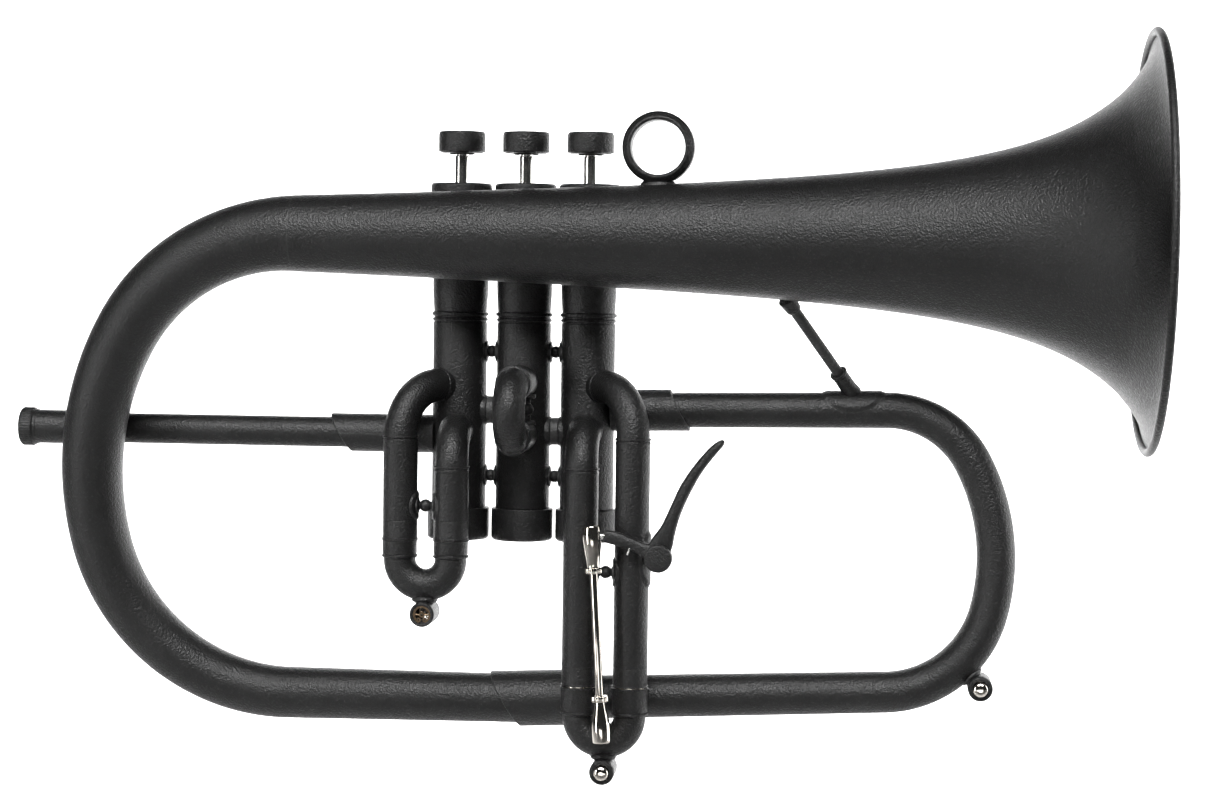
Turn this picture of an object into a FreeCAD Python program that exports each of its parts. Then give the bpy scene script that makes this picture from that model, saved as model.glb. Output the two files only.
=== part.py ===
import FreeCAD, Part
import math
import os

# Flugelhorn, in millimetres.  X runs along the bell axis towards the bell mouth, Z is up and the
# player's right hand reaches the valve buttons from +Y.  The origin is the mouth of the mouthpiece
# receiver, on the leadpipe's axis.
V = FreeCAD.Vector
X_AXIS = V(1, 0, 0)
Y_AXIS = V(0, 1, 0)
Z_AXIS = V(0, 0, 1)

WALL = 0.7                      # bell and bow sheet
SLIDE_WALL = 0.6                # slide tubing
RUNNING = 0.05                  # radial running clearance of slides, pistons and pins
PARTING = 0.15                  # end gap between faces that only meet at rest

# Bell: axis height and depth, length and mouth
BELL_Y = -30.0
BELL_Z = 74.5
BELL_START = 112.4
BELL_END = 422.3
RIM_RADIUS = 74.6
RIM_BEAD = 1.6

# Rear bow: (radius, degrees) of each bend, from the bell's back end down to the ferrule
REAR_BENDS = [(75.0, 59.1), (110.8, 43.2), (72.2, 77.9)]
REAR_BOTTOM_Y = -4.0
REAR_R = (13.0, 9.7, 9.1)               # at the bell, bow bottom and ferrule
REAR_RUN_END = 200.0
BOW_FERRULE_X = (183.5, 194.4, 219.0)   # top edge, bottom edge, front end
BOW_FERRULE_R = 10.5

# Main tube from the third valve, round the front bow and back to the ferrule
FRONT_PORT_Z = 10.0
FRONT_TOP = V(330.0, 0, 11.9)
FRONT_BENDS = [(35.5, 62.8), (77.0, 42.6), (40.6, 73.0)]
FRONT_BOTTOM_Y = -4.0
FRONT_R = (6.5, 6.7, 7.7, 8.2)          # at valve 3, bow top, bow bottom, ferrule
FRONT_FERRULE_R = 7.85
FRONT_FERRULE_X = (249.4, 256.7)        # top edge, bottom edge

# Leadpipe, receiver and sleeve
RECEIVER_BORE = 4.9
RECEIVER_BORE_LENGTH = 24.0
LEADPIPE_R = 5.7
LEADPIPE_BORE = 5.25
LEADPIPE_END = 156.0
RECEIVER_R = 6.4
RECEIVER_RING_R = 7.35
SLEEVE_R = 7.2
SLEEVE_X = (120.5, 128.3)               # top edge, bottom edge

# Valves
VALVE_X = [169.4, 193.7, 218.0]
CASING_R = 10.15
BALUSTER_R = 10.45
BORE_R = 8.5
CASING_TOP = 91.5
CASING_BOTTOM = -36.3
THREAD_TOP = 84.0
THREAD_BOTTOM = -27.3
TOP_CAP_R = 11.5
TOP_CAP_TOP = 94.5
BOTTOM_CAP_R = 11.65
BOTTOM_CAP_BOTTOM = -39.3
STROKE = 11.0
PISTON_BOTTOM = -24.8
BARREL_BASE = 30.0
BARREL_TOP = 88.0
GUIDE_Z = (36.0, 38.5)
STEM_R = 2.6
BUTTON_R = 8.8
BUTTON_Z = (105.9, 113.9)
KNUCKLE_12_Z = 9.5
KNUCKLE_23_Z = 1.8
KNUCKLE_R = 5.2
PORT_R = 4.6

# Slides: tube radii shared by all three
OUTER_R = 6.4
INNER_R = OUTER_R - SLIDE_WALL - RUNNING
CROOK_R = 5.95
ELBOW_R = 6.15
SLIDE_Y = -23.0

# First slide
FIRST_LEGS_X = (151.2, 170.3)
FIRST_PORTS_Z = (18.9, 2.2)
FIRST_BENDS = (18.5, 12.8)              # elbow bend radii
FIRST_RING_Z = -37.7
FIRST_FERRULE_Z = -44.6
FIRST_INNER_TOP = -12.7
FIRST_BRACE_Z = -25.3

# Second slide, standing out of the valve towards -Y
SECOND_PORTS_Z = (20.5, 0.7)
SECOND_LEG_END = -27.0
SECOND_CROOK_Y = -30.5
SECOND_INNER_START = -14.0
SECOND_BRACE_Y = -16.5
SECOND_BRACE_OFFSET = 3.4               # towards the bell, clear of the crook's inner side

# Third slide and its trigger
THIRD_LEGS_X = (218.5, 237.5)
THIRD_PORTS_Z = (2.5, 19.1)
THIRD_BENDS = (12.8, 18.2)
THIRD_RING_Z = -90.4
THIRD_GAP = 0.5
THIRD_FERRULE_Z = -101.1
THIRD_FERRULE_R = 6.55
THIRD_INNER_TOP = -60.0
THIRD_BRACE_Z = -48.4
LEVER_Y = -34.0
PIVOT = V(248.3, LEVER_Y, -41.6)
LEVER_ARM = 25.6
LEVER_TILT = 17.6                       # arm above level at rest, and below level when pulled
LEVER_THICKNESS = 3.2
PADDLE_WIDTH = 6.8
PIVOT_PIN_R = 1.6
HUB_R = 5.1
STUD_POINT = V(227.5, LEVER_Y, -105.8)
LINK_PLAY = 0.65                        # sideways offset of the lower ball in its socket at rest

# Water keys: pull-through plunger keys in short barrels
KEY_R = 4.6
KEY_BORE = 3.3
KEY_LENGTH = 14.5
KEY_TRAVEL = 2.5
NIPPLE_R = 2.3
KEY_STANDOFF = 4.4                      # barrel axis beyond the tube's outer surface
MAIN_KEY_ANGLE = 48.0                   # below level, on the front bow's lower bend

# Hand hardware
RING_CENTRE = V(246.0, BELL_Y, 106.9)
RING_R = (9.8, 13.1)
RING_WIDTH = 11.0
BRACE_TOP = V(292.4, -28.0, 53.5)
BRACE_FOOT = V(317.5, -1.5, 17.5)
BRACE_R = 2.05


def rod(radius, start, end):
    """Solid round bar between two points."""
    return Part.makeCylinder(radius, (end - start).Length, start, end - start)


def tube(outer, inner, start, end):
    """Straight tube between two points."""
    return rod(outer, start, end).cut(rod(inner, start, end))


def turned(outline, centre, axis=Z_AXIS):
    """Solid of revolution: outline points are (radius, height along the axis)."""
    corners = [V(r, 0, h) for r, h in outline]
    face = Part.Face(Part.makePolygon(corners + corners[:1]))
    solid = face.revolve(V(0, 0, 0), Z_AXIS, 360)
    solid.Placement = FreeCAD.Placement(centre, FreeCAD.Rotation(Z_AXIS, axis))
    return solid


def swept(radius, edges, start, heading):
    """Round bar along a path that starts at a point with a heading."""
    ring = Part.Wire(Part.makeCircle(radius, start, heading))
    return Part.Wire(edges).makePipeShell([ring], True, True)


def bent_tube(outer, inner, edges, start, heading):
    return swept(outer, edges, start, heading).cut(swept(inner, edges, start, heading))


def section(centre, heading, side, radius):
    """Circle of two arcs whose joints lie on the side direction, so that lofts don't twist."""
    up = heading.cross(side)
    a = centre + side * radius
    b = centre - side * radius
    over = Part.Arc(a, centre + up * radius, b).toShape()
    under = Part.Arc(b, centre - up * radius, a).toShape()
    return Part.Wire([over, under])


def lofted_tube(stations, side, wall):
    """Tapered tube through (centre, heading, radius) stations."""
    outer = Part.makeLoft([section(c, h, side, r) for c, h, r in stations], True)
    inner = Part.makeLoft([section(c, h, side, r - wall) for c, h, r in stations], True)
    return outer.cut(inner)


def fused(pieces):
    return pieces[0].fuse(pieces[1:]).removeSplitter()


def group(pieces):
    return Part.makeCompound(pieces)


def valve_point(index, z):
    return V(VALVE_X[index], 0, z)


# ---- bell -----------------------------------------------------------------------------------

def bell_radius(x):
    """Outer radius of the bell: a slow cone with a flare that grows towards the mouth."""
    return 12.17 + 0.02456 * (x - 100) + 54100 * (475.39 - x) ** -1.7726


def bell():
    stations = [BELL_START + (411.5 - BELL_START) * (1 - (1 - i / 13) ** 1.6) for i in range(14)]
    outer = [(x, bell_radius(x)) for x in stations]
    outer += [(415.3, 58.5), (418.7, 63.3), (421.1, 68.6), (422.1, 72.1), (BELL_END, RIM_RADIUS)]
    inner = []
    for i, (x, r) in enumerate(outer):
        before = outer[max(i - 1, 0)]
        after = outer[min(i + 1, len(outer) - 1)]
        slope = math.atan2(after[1] - before[1], after[0] - before[0])
        inner.append((x + WALL * math.sin(slope), r - WALL * math.cos(slope)))
    inner[0] = (BELL_START, outer[0][1] - WALL)
    curves = []
    for line in (outer, inner):
        curve = Part.BSplineCurve()
        curve.interpolate([V(x, 0, r) for x, r in line])
        curves.append(curve.toShape())
    ends = [Part.makeLine(V(outer[k][0], 0, outer[k][1]), V(inner[k][0], 0, inner[k][1]))
            for k in (0, -1)]
    face = Part.Face(Part.Wire([curves[0], ends[1], curves[1], ends[0]]))
    shell = face.revolve(V(0, 0, 0), X_AXIS, 360)
    shell.translate(V(0, BELL_Y, BELL_Z))
    return shell.cut(bell_rim())


def bell_rim():
    return Part.makeTorus(RIM_RADIUS, RIM_BEAD, V(BELL_END - 0.4, BELL_Y, BELL_Z), X_AXIS)


def bell_supports():
    """Posts that hold the bell off the first and third valve casings."""
    posts = []
    for x in (VALVE_X[0], VALVE_X[2]):
        post = rod(3.6, V(x, 0, BELL_Z), V(x, BELL_Y, BELL_Z))
        flange = rod(5.2, V(x, 0, BELL_Z), V(x, -BALUSTER_R - 0.9, BELL_Z))
        solid = post.fuse(flange).cut(rod(BALUSTER_R, V(x, 0, 50), V(x, 0, 90)))
        cone = Part.makeCone(bell_radius(x - 20), bell_radius(x + 20), 40,
                             V(x - 20, BELL_Y, BELL_Z), X_AXIS)
        posts.append(solid.cut(cone))
    return group(posts)


# ---- bows -----------------------------------------------------------------------------------

def walk(start, heading, bends, turn, step):
    """Points and headings along tangent arcs in the X-Z plane; turn is +1 for a left turn."""
    points = [(start.x, start.z, heading)]
    x, z, angle = start.x, start.z, heading
    for radius, degrees in bends:
        count = max(2, round(degrees / step))
        for _ in range(count):
            part = math.radians(degrees / count)
            chord = 2 * radius * math.sin(part / 2)
            angle += turn * part / 2
            x += chord * math.cos(angle)
            z += chord * math.sin(angle)
            angle += turn * part / 2
            points.append((x, z, angle))
    return points


def in_depth(points, top_y, bottom_y, radii):
    """Tilts a flat path so that its depth falls evenly from top to bottom, and adds radii."""
    top = points[0][1]
    bottom = points[-1][1]
    slant = (top_y - bottom_y) / (top - bottom)
    stations = []
    for (x, z, angle), r in zip(points, radii):
        centre = V(x, top_y - slant * (top - z), z)
        heading = V(math.cos(angle), slant * math.sin(angle), math.sin(angle)).normalize()
        stations.append((centre, heading, r))
    side = V(0, 1, -slant).normalize()
    return stations, side


def rear_path():
    start = V(BELL_START, BELL_Y, BELL_Z)
    points = walk(start, math.pi, REAR_BENDS, 1, 11)
    last = len(points) - 1
    top_r, bottom_r = REAR_R[:2]
    radii = []
    for i in range(len(points)):
        share = i / last
        radii.append(top_r + (bottom_r - top_r) * share + 1.04 * (1 - share) ** 8)
    return in_depth(points, BELL_Y, REAR_BOTTOM_Y, radii)


def run_to(station, x):
    """Point at a given X on the straight line that leaves a bow's end station."""
    centre, heading, _ = station
    return centre + heading * ((x - centre.x) / heading.x)


def rear_bow():
    stations, side = rear_path()
    bow = lofted_tube(stations, side, WALL)
    end = stations[-1][0]
    run = cone_tube(end, run_to(stations[-1], REAR_RUN_END), REAR_R[1], REAR_R[2], WALL)
    return fused([bow, run])


def front_path():
    rise = math.atan2(FRONT_TOP.z - FRONT_PORT_Z, FRONT_TOP.x - VALVE_X[2])
    points = walk(FRONT_TOP, rise, FRONT_BENDS, -1, 11)
    last = len(points) - 1
    top_r, bottom_r = FRONT_R[1], FRONT_R[2]
    radii = [top_r + (bottom_r - top_r) * i / last for i in range(len(points))]
    return in_depth(points, FRONT_TOP.y, FRONT_BOTTOM_Y, radii)


def cone_tube(start, end, start_r, end_r, wall):
    length = (end - start).Length
    outer = Part.makeCone(start_r, end_r, length, start, end - start)
    inner = Part.makeCone(start_r - wall, end_r - wall, length, start, end - start)
    return outer.cut(inner)


def front_runs():
    """Ends of the straight runs: from valve 3 to the front bow, and from the bow to the ferrule."""
    stations, _ = front_path()
    top = (run_to(stations[0], VALVE_X[2]), stations[0][0])
    bottom = (stations[-1][0], run_to(stations[-1], REAR_RUN_END + 1.0))
    return top, bottom


def front_cores():
    """The same runs as solid cones, to cut what is soldered onto them."""
    (port, bow_top), (bow_end, ferrule_point) = front_runs()
    top = Part.makeCone(FRONT_R[0], FRONT_R[1], (bow_top - port).Length, port, bow_top - port)
    bottom = Part.makeCone(FRONT_R[2], FRONT_R[3], (ferrule_point - bow_end).Length, bow_end,
                           ferrule_point - bow_end)
    return top, bottom


def front_bow():
    stations, side = front_path()
    bow = lofted_tube(stations, side, WALL)
    (port, bow_top), (bow_end, ferrule_point) = front_runs()
    top = cone_tube(port, bow_top, FRONT_R[0], FRONT_R[1], WALL)
    bottom = cone_tube(bow_end, ferrule_point, FRONT_R[2], FRONT_R[3], WALL)
    whole = fused([top, bow, bottom])
    return whole.cut(rod(CASING_R, valve_point(2, -20), valve_point(2, 40)))


def slanted_end(x_top, x_bottom, radius, z, facing):
    """Block that trims a sleeve along a slanted line; facing is -1 to clear the -X side."""
    far = facing * 60
    corners = [V(x_top, -30, z + radius), V(x_bottom, -30, z - radius)]
    lean = (x_bottom - x_top) / (2 * radius)
    upper = V(x_top - lean * 20, -30, z + radius + 20)
    lower = V(x_bottom + lean * 20, -30, z - radius - 20)
    outline = [upper] + corners + [lower, lower + V(far, 0, 0), upper + V(far, 0, 0)]
    return Part.Face(Part.makePolygon(outline + outline[:1])).extrude(V(0, 60, 0))


def bow_ferrule():
    """Sleeve over the joint of the two bows, cut on a slant at its back end."""
    x_top, x_bottom, x_end = BOW_FERRULE_X
    rear_end = rear_path()[0][-1]
    front_end = front_path()[0][-1]
    start = run_to(front_end, x_top - 2)
    end = run_to(front_end, x_end)
    sleeve = rod(BOW_FERRULE_R, start, end)
    sleeve = sleeve.cut(slanted_end(x_top, x_bottom, BOW_FERRULE_R, start.z + 0.4, -1))
    run_end = run_to(rear_end, REAR_RUN_END)
    back = Part.makeCone(REAR_R[1], REAR_R[2], (run_end - rear_end[0]).Length, rear_end[0],
                         run_end - rear_end[0])
    return sleeve.cut(back).cut(front_cores()[1])


def front_ferrule():
    x_top, x_bottom = FRONT_FERRULE_X
    top_end = front_path()[0][0]
    sleeve = rod(FRONT_FERRULE_R, run_to(top_end, VALVE_X[2]), run_to(top_end, x_bottom + 2))
    sleeve = sleeve.cut(slanted_end(x_top, x_bottom, FRONT_FERRULE_R, FRONT_PORT_Z + 0.4, 1))
    casing = rod(CASING_R, valve_point(2, -20), valve_point(2, 40))
    return sleeve.cut(front_cores()[0]).cut(casing)


# ---- leadpipe -------------------------------------------------------------------------------

def mouthpiece_receiver():
    step = 18.0
    socket_end = RECEIVER_BORE_LENGTH + 6
    outline = [(RECEIVER_BORE, 0), (RECEIVER_RING_R - 0.8, 0), (RECEIVER_RING_R, 0.8),
               (RECEIVER_RING_R, 5.0), (RECEIVER_RING_R - 0.7, 5.7), (RECEIVER_R, 6.2),
               (RECEIVER_R, step), (6.15, step + 1), (6.15, socket_end), (LEADPIPE_R, socket_end),
               (LEADPIPE_R, RECEIVER_BORE_LENGTH), (RECEIVER_BORE, RECEIVER_BORE_LENGTH)]
    return turned(outline, V(0, 0, 0), X_AXIS)


def leadpipe():
    start = V(RECEIVER_BORE_LENGTH, 0, 0)
    return tube(LEADPIPE_R, LEADPIPE_BORE, start, V(LEADPIPE_END, 0, 0))


def leadpipe_sleeve():
    start = V(SLEEVE_X[0] - 2, 0, 0)
    sleeve = tube(SLEEVE_R, LEADPIPE_R + RUNNING, start, valve_point(0, 0))
    sleeve = sleeve.cut(slanted_end(SLEEVE_X[0], SLEEVE_X[1], SLEEVE_R, 0, -1))
    return sleeve.cut(rod(CASING_R, valve_point(0, -20), valve_point(0, 40)))


# ---- valves ---------------------------------------------------------------------------------

def leg_heading(valve, leg_x):
    """Level direction from a valve's axis to a slide leg."""
    return V(leg_x - VALVE_X[valve], SLIDE_Y, 0)


def casing_ports(index):
    """Ports of each casing as (height, direction)."""
    forward = V(0, -1, 0)
    ports = [
        [(0, -X_AXIS), (KNUCKLE_12_Z, X_AXIS),
         (FIRST_PORTS_Z[0], leg_heading(0, FIRST_LEGS_X[0])),
         (FIRST_PORTS_Z[1], leg_heading(0, FIRST_LEGS_X[1]))],
        [(KNUCKLE_12_Z, -X_AXIS), (KNUCKLE_23_Z, X_AXIS),
         (SECOND_PORTS_Z[0], forward), (SECOND_PORTS_Z[1], forward)],
        [(KNUCKLE_23_Z, -X_AXIS), (FRONT_PORT_Z, X_AXIS),
         (THIRD_PORTS_Z[0], leg_heading(2, THIRD_LEGS_X[0])),
         (THIRD_PORTS_Z[1], leg_heading(2, THIRD_LEGS_X[1]))],
    ]
    return ports[index]


def valve_casing(index):
    thread_r = CASING_R - 0.45
    outline = [(BORE_R, CASING_BOTTOM), (thread_r, CASING_BOTTOM), (thread_r, THREAD_BOTTOM),
               (CASING_R, THREAD_BOTTOM), (CASING_R, 42.0), (CASING_R - 0.2, 43.6),
               (CASING_R + 0.45, 44.2), (CASING_R + 0.45, 45.0), (CASING_R - 0.05, 45.3),
               (CASING_R + 0.45, 45.6), (CASING_R + 0.45, 46.4), (CASING_R - 0.15, 47.2),
               (BALUSTER_R - 0.1, 52.0), (BALUSTER_R, 57.0), (BALUSTER_R, THREAD_TOP),
               (thread_r, THREAD_TOP), (thread_r, CASING_TOP), (BORE_R, CASING_TOP)]
    casing = turned(outline, valve_point(index, 0))
    for height, direction in casing_ports(index):
        centre = valve_point(index, height)
        casing = casing.cut(Part.makeCylinder(PORT_R, 20, centre, direction))
    for side in (-1, 1):
        notch = Part.makeBox(1.2, 2.0, GUIDE_Z[1] - GUIDE_Z[0])
        inner = BORE_R - 0.1 if side > 0 else -BORE_R - 1.1
        notch.translate(V(VALVE_X[index] + inner, -1.0, GUIDE_Z[0]))
        casing = casing.cut(notch)
    return casing


def top_caps():
    thread_r = CASING_R - 0.45
    plate = CASING_TOP + 0.4
    bevel = 0.5
    outline = [(STEM_R + 0.1, plate), (thread_r, plate), (thread_r, THREAD_TOP),
               (TOP_CAP_R, THREAD_TOP), (TOP_CAP_R, TOP_CAP_TOP - bevel),
               (TOP_CAP_R - bevel, TOP_CAP_TOP), (STEM_R + 0.1, TOP_CAP_TOP)]
    return group([turned(outline, V(x, 0, 0)) for x in VALVE_X])


def bottom_caps():
    thread_r = CASING_R - 0.45
    floor = CASING_BOTTOM - 0.3
    bevel = 0.7
    outline = [(3.0, floor), (thread_r, floor), (thread_r, THREAD_BOTTOM),
               (BOTTOM_CAP_R - 0.3, THREAD_BOTTOM), (BOTTOM_CAP_R, THREAD_BOTTOM - 0.3),
               (BOTTOM_CAP_R, BOTTOM_CAP_BOTTOM + bevel),
               (BOTTOM_CAP_R - bevel, BOTTOM_CAP_BOTTOM), (3.0, BOTTOM_CAP_BOTTOM)]
    return group([turned(outline, V(x, 0, 0)) for x in VALVE_X])


def piston(index):
    """Ported piston with its spring barrel; two slots let the guide's arms through."""
    body_r = BORE_R - RUNNING
    body = rod(body_r, valve_point(index, PISTON_BOTTOM), valve_point(index, BARREL_BASE))
    well = rod(5.0, valve_point(index, PISTON_BOTTOM), valve_point(index, PISTON_BOTTOM + 12))
    (in_z, in_dir), (out_z, out_dir) = casing_ports(index)[:2]
    inlet = valve_point(index, in_z) + in_dir * 12
    outlet = valve_point(index, out_z) + out_dir * 12
    passage = rod(PORT_R - 0.4, inlet, outlet)
    barrel = tube(8.2, 7.4, valve_point(index, BARREL_BASE), valve_point(index, BARREL_TOP - 2))
    lid = tube(8.2, 3.0, valve_point(index, BARREL_TOP - 2), valve_point(index, BARREL_TOP))
    slot = Part.makeBox(20, 2.4, STROKE + GUIDE_Z[1] - GUIDE_Z[0] + 1)
    slot.translate(V(VALVE_X[index] - 10, -1.2, GUIDE_Z[0] - 0.4))
    whole = fused([body.cut(well).cut(passage), barrel, lid])
    return whole.cut(slot)


def valve_stem(index):
    """Stem screwed into the barrel's lid and into the button above."""
    outline = [(0, BARREL_TOP - 2.6), (4.4, BARREL_TOP - 2.6), (4.4, BARREL_TOP - 2.0),
               (3.0, BARREL_TOP - 2.0), (3.0, BARREL_TOP + 0.6), (STEM_R, BARREL_TOP + 1.0),
               (STEM_R, BUTTON_Z[0]), (1.9, BUTTON_Z[0]), (1.9, BUTTON_Z[0] + 5), (0, BUTTON_Z[0] + 5)]
    return turned(outline, valve_point(index, 0))


def finger_button(index):
    low, high = BUTTON_Z
    bevel = 0.6
    outline = [(1.9, low), (BUTTON_R - bevel, low), (BUTTON_R, low + bevel),
               (BUTTON_R, high - bevel), (BUTTON_R - bevel, high), (6.6, high), (0, high - 0.5),
               (0, low + 5), (1.9, low + 5)]
    return turned(outline, valve_point(index, 0))


def coil(coil_r, wire_r, turns, height):
    """Helical spring standing on Z, its wire's centre starting at height zero."""
    helix = Part.makeHelix(height / turns, height, coil_r)
    heading = V(0, coil_r, height / turns / (2 * math.pi))
    ring = Part.Wire(Part.makeCircle(wire_r, V(coil_r, 0, 0), heading))
    return Part.Wire(helix).makePipeShell([ring], True, True)


def piston_spring(index):
    wire_r = 0.45
    low = GUIDE_Z[1] + wire_r + 0.1
    high = BARREL_TOP - 2.6 - wire_r - 0.1
    spring = coil(5.9, wire_r, 9, high - low)
    spring.translate(valve_point(index, low))
    return spring


def valve_guides():
    """Cross bars keyed into the casings: they steer the pistons and carry the springs."""
    bars = []
    for x in VALVE_X:
        height = GUIDE_Z[1] - GUIDE_Z[0]
        disc = Part.makeCylinder(7.0, height, V(x, 0, GUIDE_Z[0]))
        bar = Part.makeBox(2 * BORE_R + 1.8, 1.8, height)
        bar.translate(V(x - BORE_R - 0.9, -0.9, GUIDE_Z[0]))
        bars.append(fused([disc, bar]))
    return group(bars)


def valve_knuckles():
    """Short crossing tubes between neighbouring casings."""
    knuckles = []
    for left, height in ((0, KNUCKLE_12_Z), (1, KNUCKLE_23_Z)):
        ring = tube(KNUCKLE_R, PORT_R, valve_point(left, height), valve_point(left + 1, height))
        for index in (left, left + 1):
            ring = ring.cut(rod(CASING_R, valve_point(index, -30), valve_point(index, 40)))
        knuckles.append(ring)
    return group(knuckles)


def ball_brace(start, end, ball_r, flange_r, trims):
    """Turned post with a ball in its middle and a flange at each end, trimmed to its tubes."""
    post_r = 1.3
    flange = 2.0
    length = (end - start).Length
    middle = length / 2
    neck = math.sqrt(ball_r ** 2 - post_r ** 2)
    low = [V(0, 0, 0), V(flange_r, 0, 0), V(flange_r, 0, flange), V(post_r, 0, flange),
           V(post_r, 0, middle - neck)]
    high = [V(p.x, 0, length - p.z) for p in reversed(low)]
    bulge = Part.Arc(low[-1], V(ball_r, 0, middle), high[0]).toShape()
    edges = Part.makePolygon(low).Edges + [bulge] + Part.makePolygon(high + low[:1]).Edges
    post = Part.Face(Part.Wire(edges)).revolve(V(0, 0, 0), Z_AXIS, 360)
    post.Placement = FreeCAD.Placement(start, FreeCAD.Rotation(Z_AXIS, end - start))
    for trim in trims:
        post = post.cut(trim)
    return post


def ball_braces():
    braces = []
    for left in (0, 1):
        for height in (31.6, -15.2):
            trims = [rod(CASING_R, valve_point(i, height - 9), valve_point(i, height + 9))
                     for i in (left, left + 1)]
            start = valve_point(left, height) + X_AXIS * (CASING_R - 1.4)
            end = valve_point(left + 1, height) - X_AXIS * (CASING_R - 1.4)
            braces.append(ball_brace(start, end, 1.9, 2.9, trims))
    for legs, height in ((FIRST_LEGS_X, FIRST_BRACE_Z), (THIRD_LEGS_X, THIRD_BRACE_Z)):
        trims = [rod(OUTER_R, V(x, SLIDE_Y, height - 9), V(x, SLIDE_Y, height + 9)) for x in legs]
        start = V(legs[0] + OUTER_R - 1.4, SLIDE_Y, height)
        end = V(legs[1] - OUTER_R + 1.4, SLIDE_Y, height)
        braces.append(ball_brace(start, end, 2.4, 3.6, trims))
    upper, lower = SECOND_PORTS_Z
    trims = [rod(OUTER_R, V(VALVE_X[1], -8, z), V(VALVE_X[1], -27, z)) for z in (upper, lower)]
    x = VALVE_X[1] + SECOND_BRACE_OFFSET
    start = V(x, SECOND_BRACE_Y, lower + OUTER_R - 1.6)
    end = V(x, SECOND_BRACE_Y, upper - OUTER_R + 1.6)
    braces.append(ball_brace(start, end, 2.6, 3.6, trims))
    return group(braces)


# ---- slides ---------------------------------------------------------------------------------

def elbow(valve, leg_x, port_z, bend):
    """Quarter bend from a valve's side down into a vertical leg."""
    casing = valve_point(valve, port_z)
    level = leg_heading(valve, leg_x)
    reach = level.Length
    level.normalize()
    start = casing + level * (CASING_R - 3)
    turn = casing + level * (reach - bend)
    end = casing + level * reach - Z_AXIS * bend
    centre = turn - Z_AXIS * bend
    half = math.sqrt(0.5)
    middle = centre + level * (bend * half) + Z_AXIS * (bend * half)
    edges = [Part.makeLine(start, turn), Part.Arc(turn, middle, end).toShape()]
    pipe = bent_tube(ELBOW_R, ELBOW_R - SLIDE_WALL, edges, start, level)
    return pipe.cut(rod(CASING_R, valve_point(valve, -25), valve_point(valve, 45)))


def first_elbows():
    return group([elbow(0, *port) for port in zip(FIRST_LEGS_X, FIRST_PORTS_Z, FIRST_BENDS)])


def third_elbows():
    return group([elbow(2, *port) for port in zip(THIRD_LEGS_X, THIRD_PORTS_Z, THIRD_BENDS)])


def outer_leg(top, bottom):
    """Outer slide tube with a small bead where it takes the elbow."""
    along = (bottom - top).normalize()
    leg = tube(OUTER_R, OUTER_R - SLIDE_WALL, top, bottom)
    bead = tube(OUTER_R + 0.15, OUTER_R - SLIDE_WALL, top, top + along * 0.9)
    return fused([leg, bead])


def first_outer_legs():
    return group([outer_leg(V(x, SLIDE_Y, z - bend), V(x, SLIDE_Y, FIRST_RING_Z))
                  for x, z, bend in zip(FIRST_LEGS_X, FIRST_PORTS_Z, FIRST_BENDS)])


def third_outer_legs():
    return group([outer_leg(V(x, SLIDE_Y, z - bend), V(x, SLIDE_Y, THIRD_RING_Z))
                  for x, z, bend in zip(THIRD_LEGS_X, THIRD_PORTS_Z, THIRD_BENDS)])


def second_outer_legs():
    """Two tubes standing straight out of the second valve."""
    legs = []
    x = VALVE_X[1]
    casing = rod(CASING_R, valve_point(1, -20), valve_point(1, 45))
    for z in SECOND_PORTS_Z:
        legs.append(outer_leg(V(x, SECOND_LEG_END, z), V(x, -4, z)).cut(casing))
    return group(legs)


def crook(legs_x, ring_z, ferrule_z, ferrule_r):
    """U bend with a ferrule on each end, hanging below a pair of vertical legs."""
    left = V(legs_x[0], SLIDE_Y, ferrule_z)
    right = V(legs_x[1], SLIDE_Y, ferrule_z)
    centre, half = crook_bend(legs_x, ferrule_z)
    bend_start = centre - X_AXIS * half
    bend_end = centre + X_AXIS * half
    bend = Part.Arc(bend_start, centre - Z_AXIS * half, bend_end).toShape()
    edges = [Part.makeLine(left, bend_start), bend, Part.makeLine(bend_end, right)]
    pipe = bent_tube(CROOK_R, CROOK_R - SLIDE_WALL, edges, left, -Z_AXIS)
    bead = 0.2
    outline = [(INNER_R, ring_z), (ferrule_r - 0.15, ring_z), (ferrule_r, ring_z - 0.15),
               (ferrule_r, ferrule_z + 1.2), (ferrule_r + bead, ferrule_z + 1.0),
               (ferrule_r + bead, ferrule_z + 0.2), (ferrule_r, ferrule_z), (INNER_R, ferrule_z)]
    ferrules = [turned(outline, V(x, SLIDE_Y, 0)) for x in legs_x]
    return fused([pipe] + ferrules)


def first_slide_crook():
    return crook(FIRST_LEGS_X, FIRST_RING_Z - PARTING, FIRST_FERRULE_Z, OUTER_R)


def third_slide_crook():
    return crook(THIRD_LEGS_X, THIRD_RING_Z - THIRD_GAP, THIRD_FERRULE_Z, THIRD_FERRULE_R)


def inner_legs(legs_x, top, bottom):
    return group([tube(INNER_R, INNER_R - 0.45, V(x, SLIDE_Y, top), V(x, SLIDE_Y, bottom))
                  for x in legs_x])


def first_slide_inner_legs():
    return inner_legs(FIRST_LEGS_X, FIRST_INNER_TOP, FIRST_FERRULE_Z)


def third_slide_inner_legs():
    return inner_legs(THIRD_LEGS_X, THIRD_INNER_TOP, THIRD_FERRULE_Z)


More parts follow.
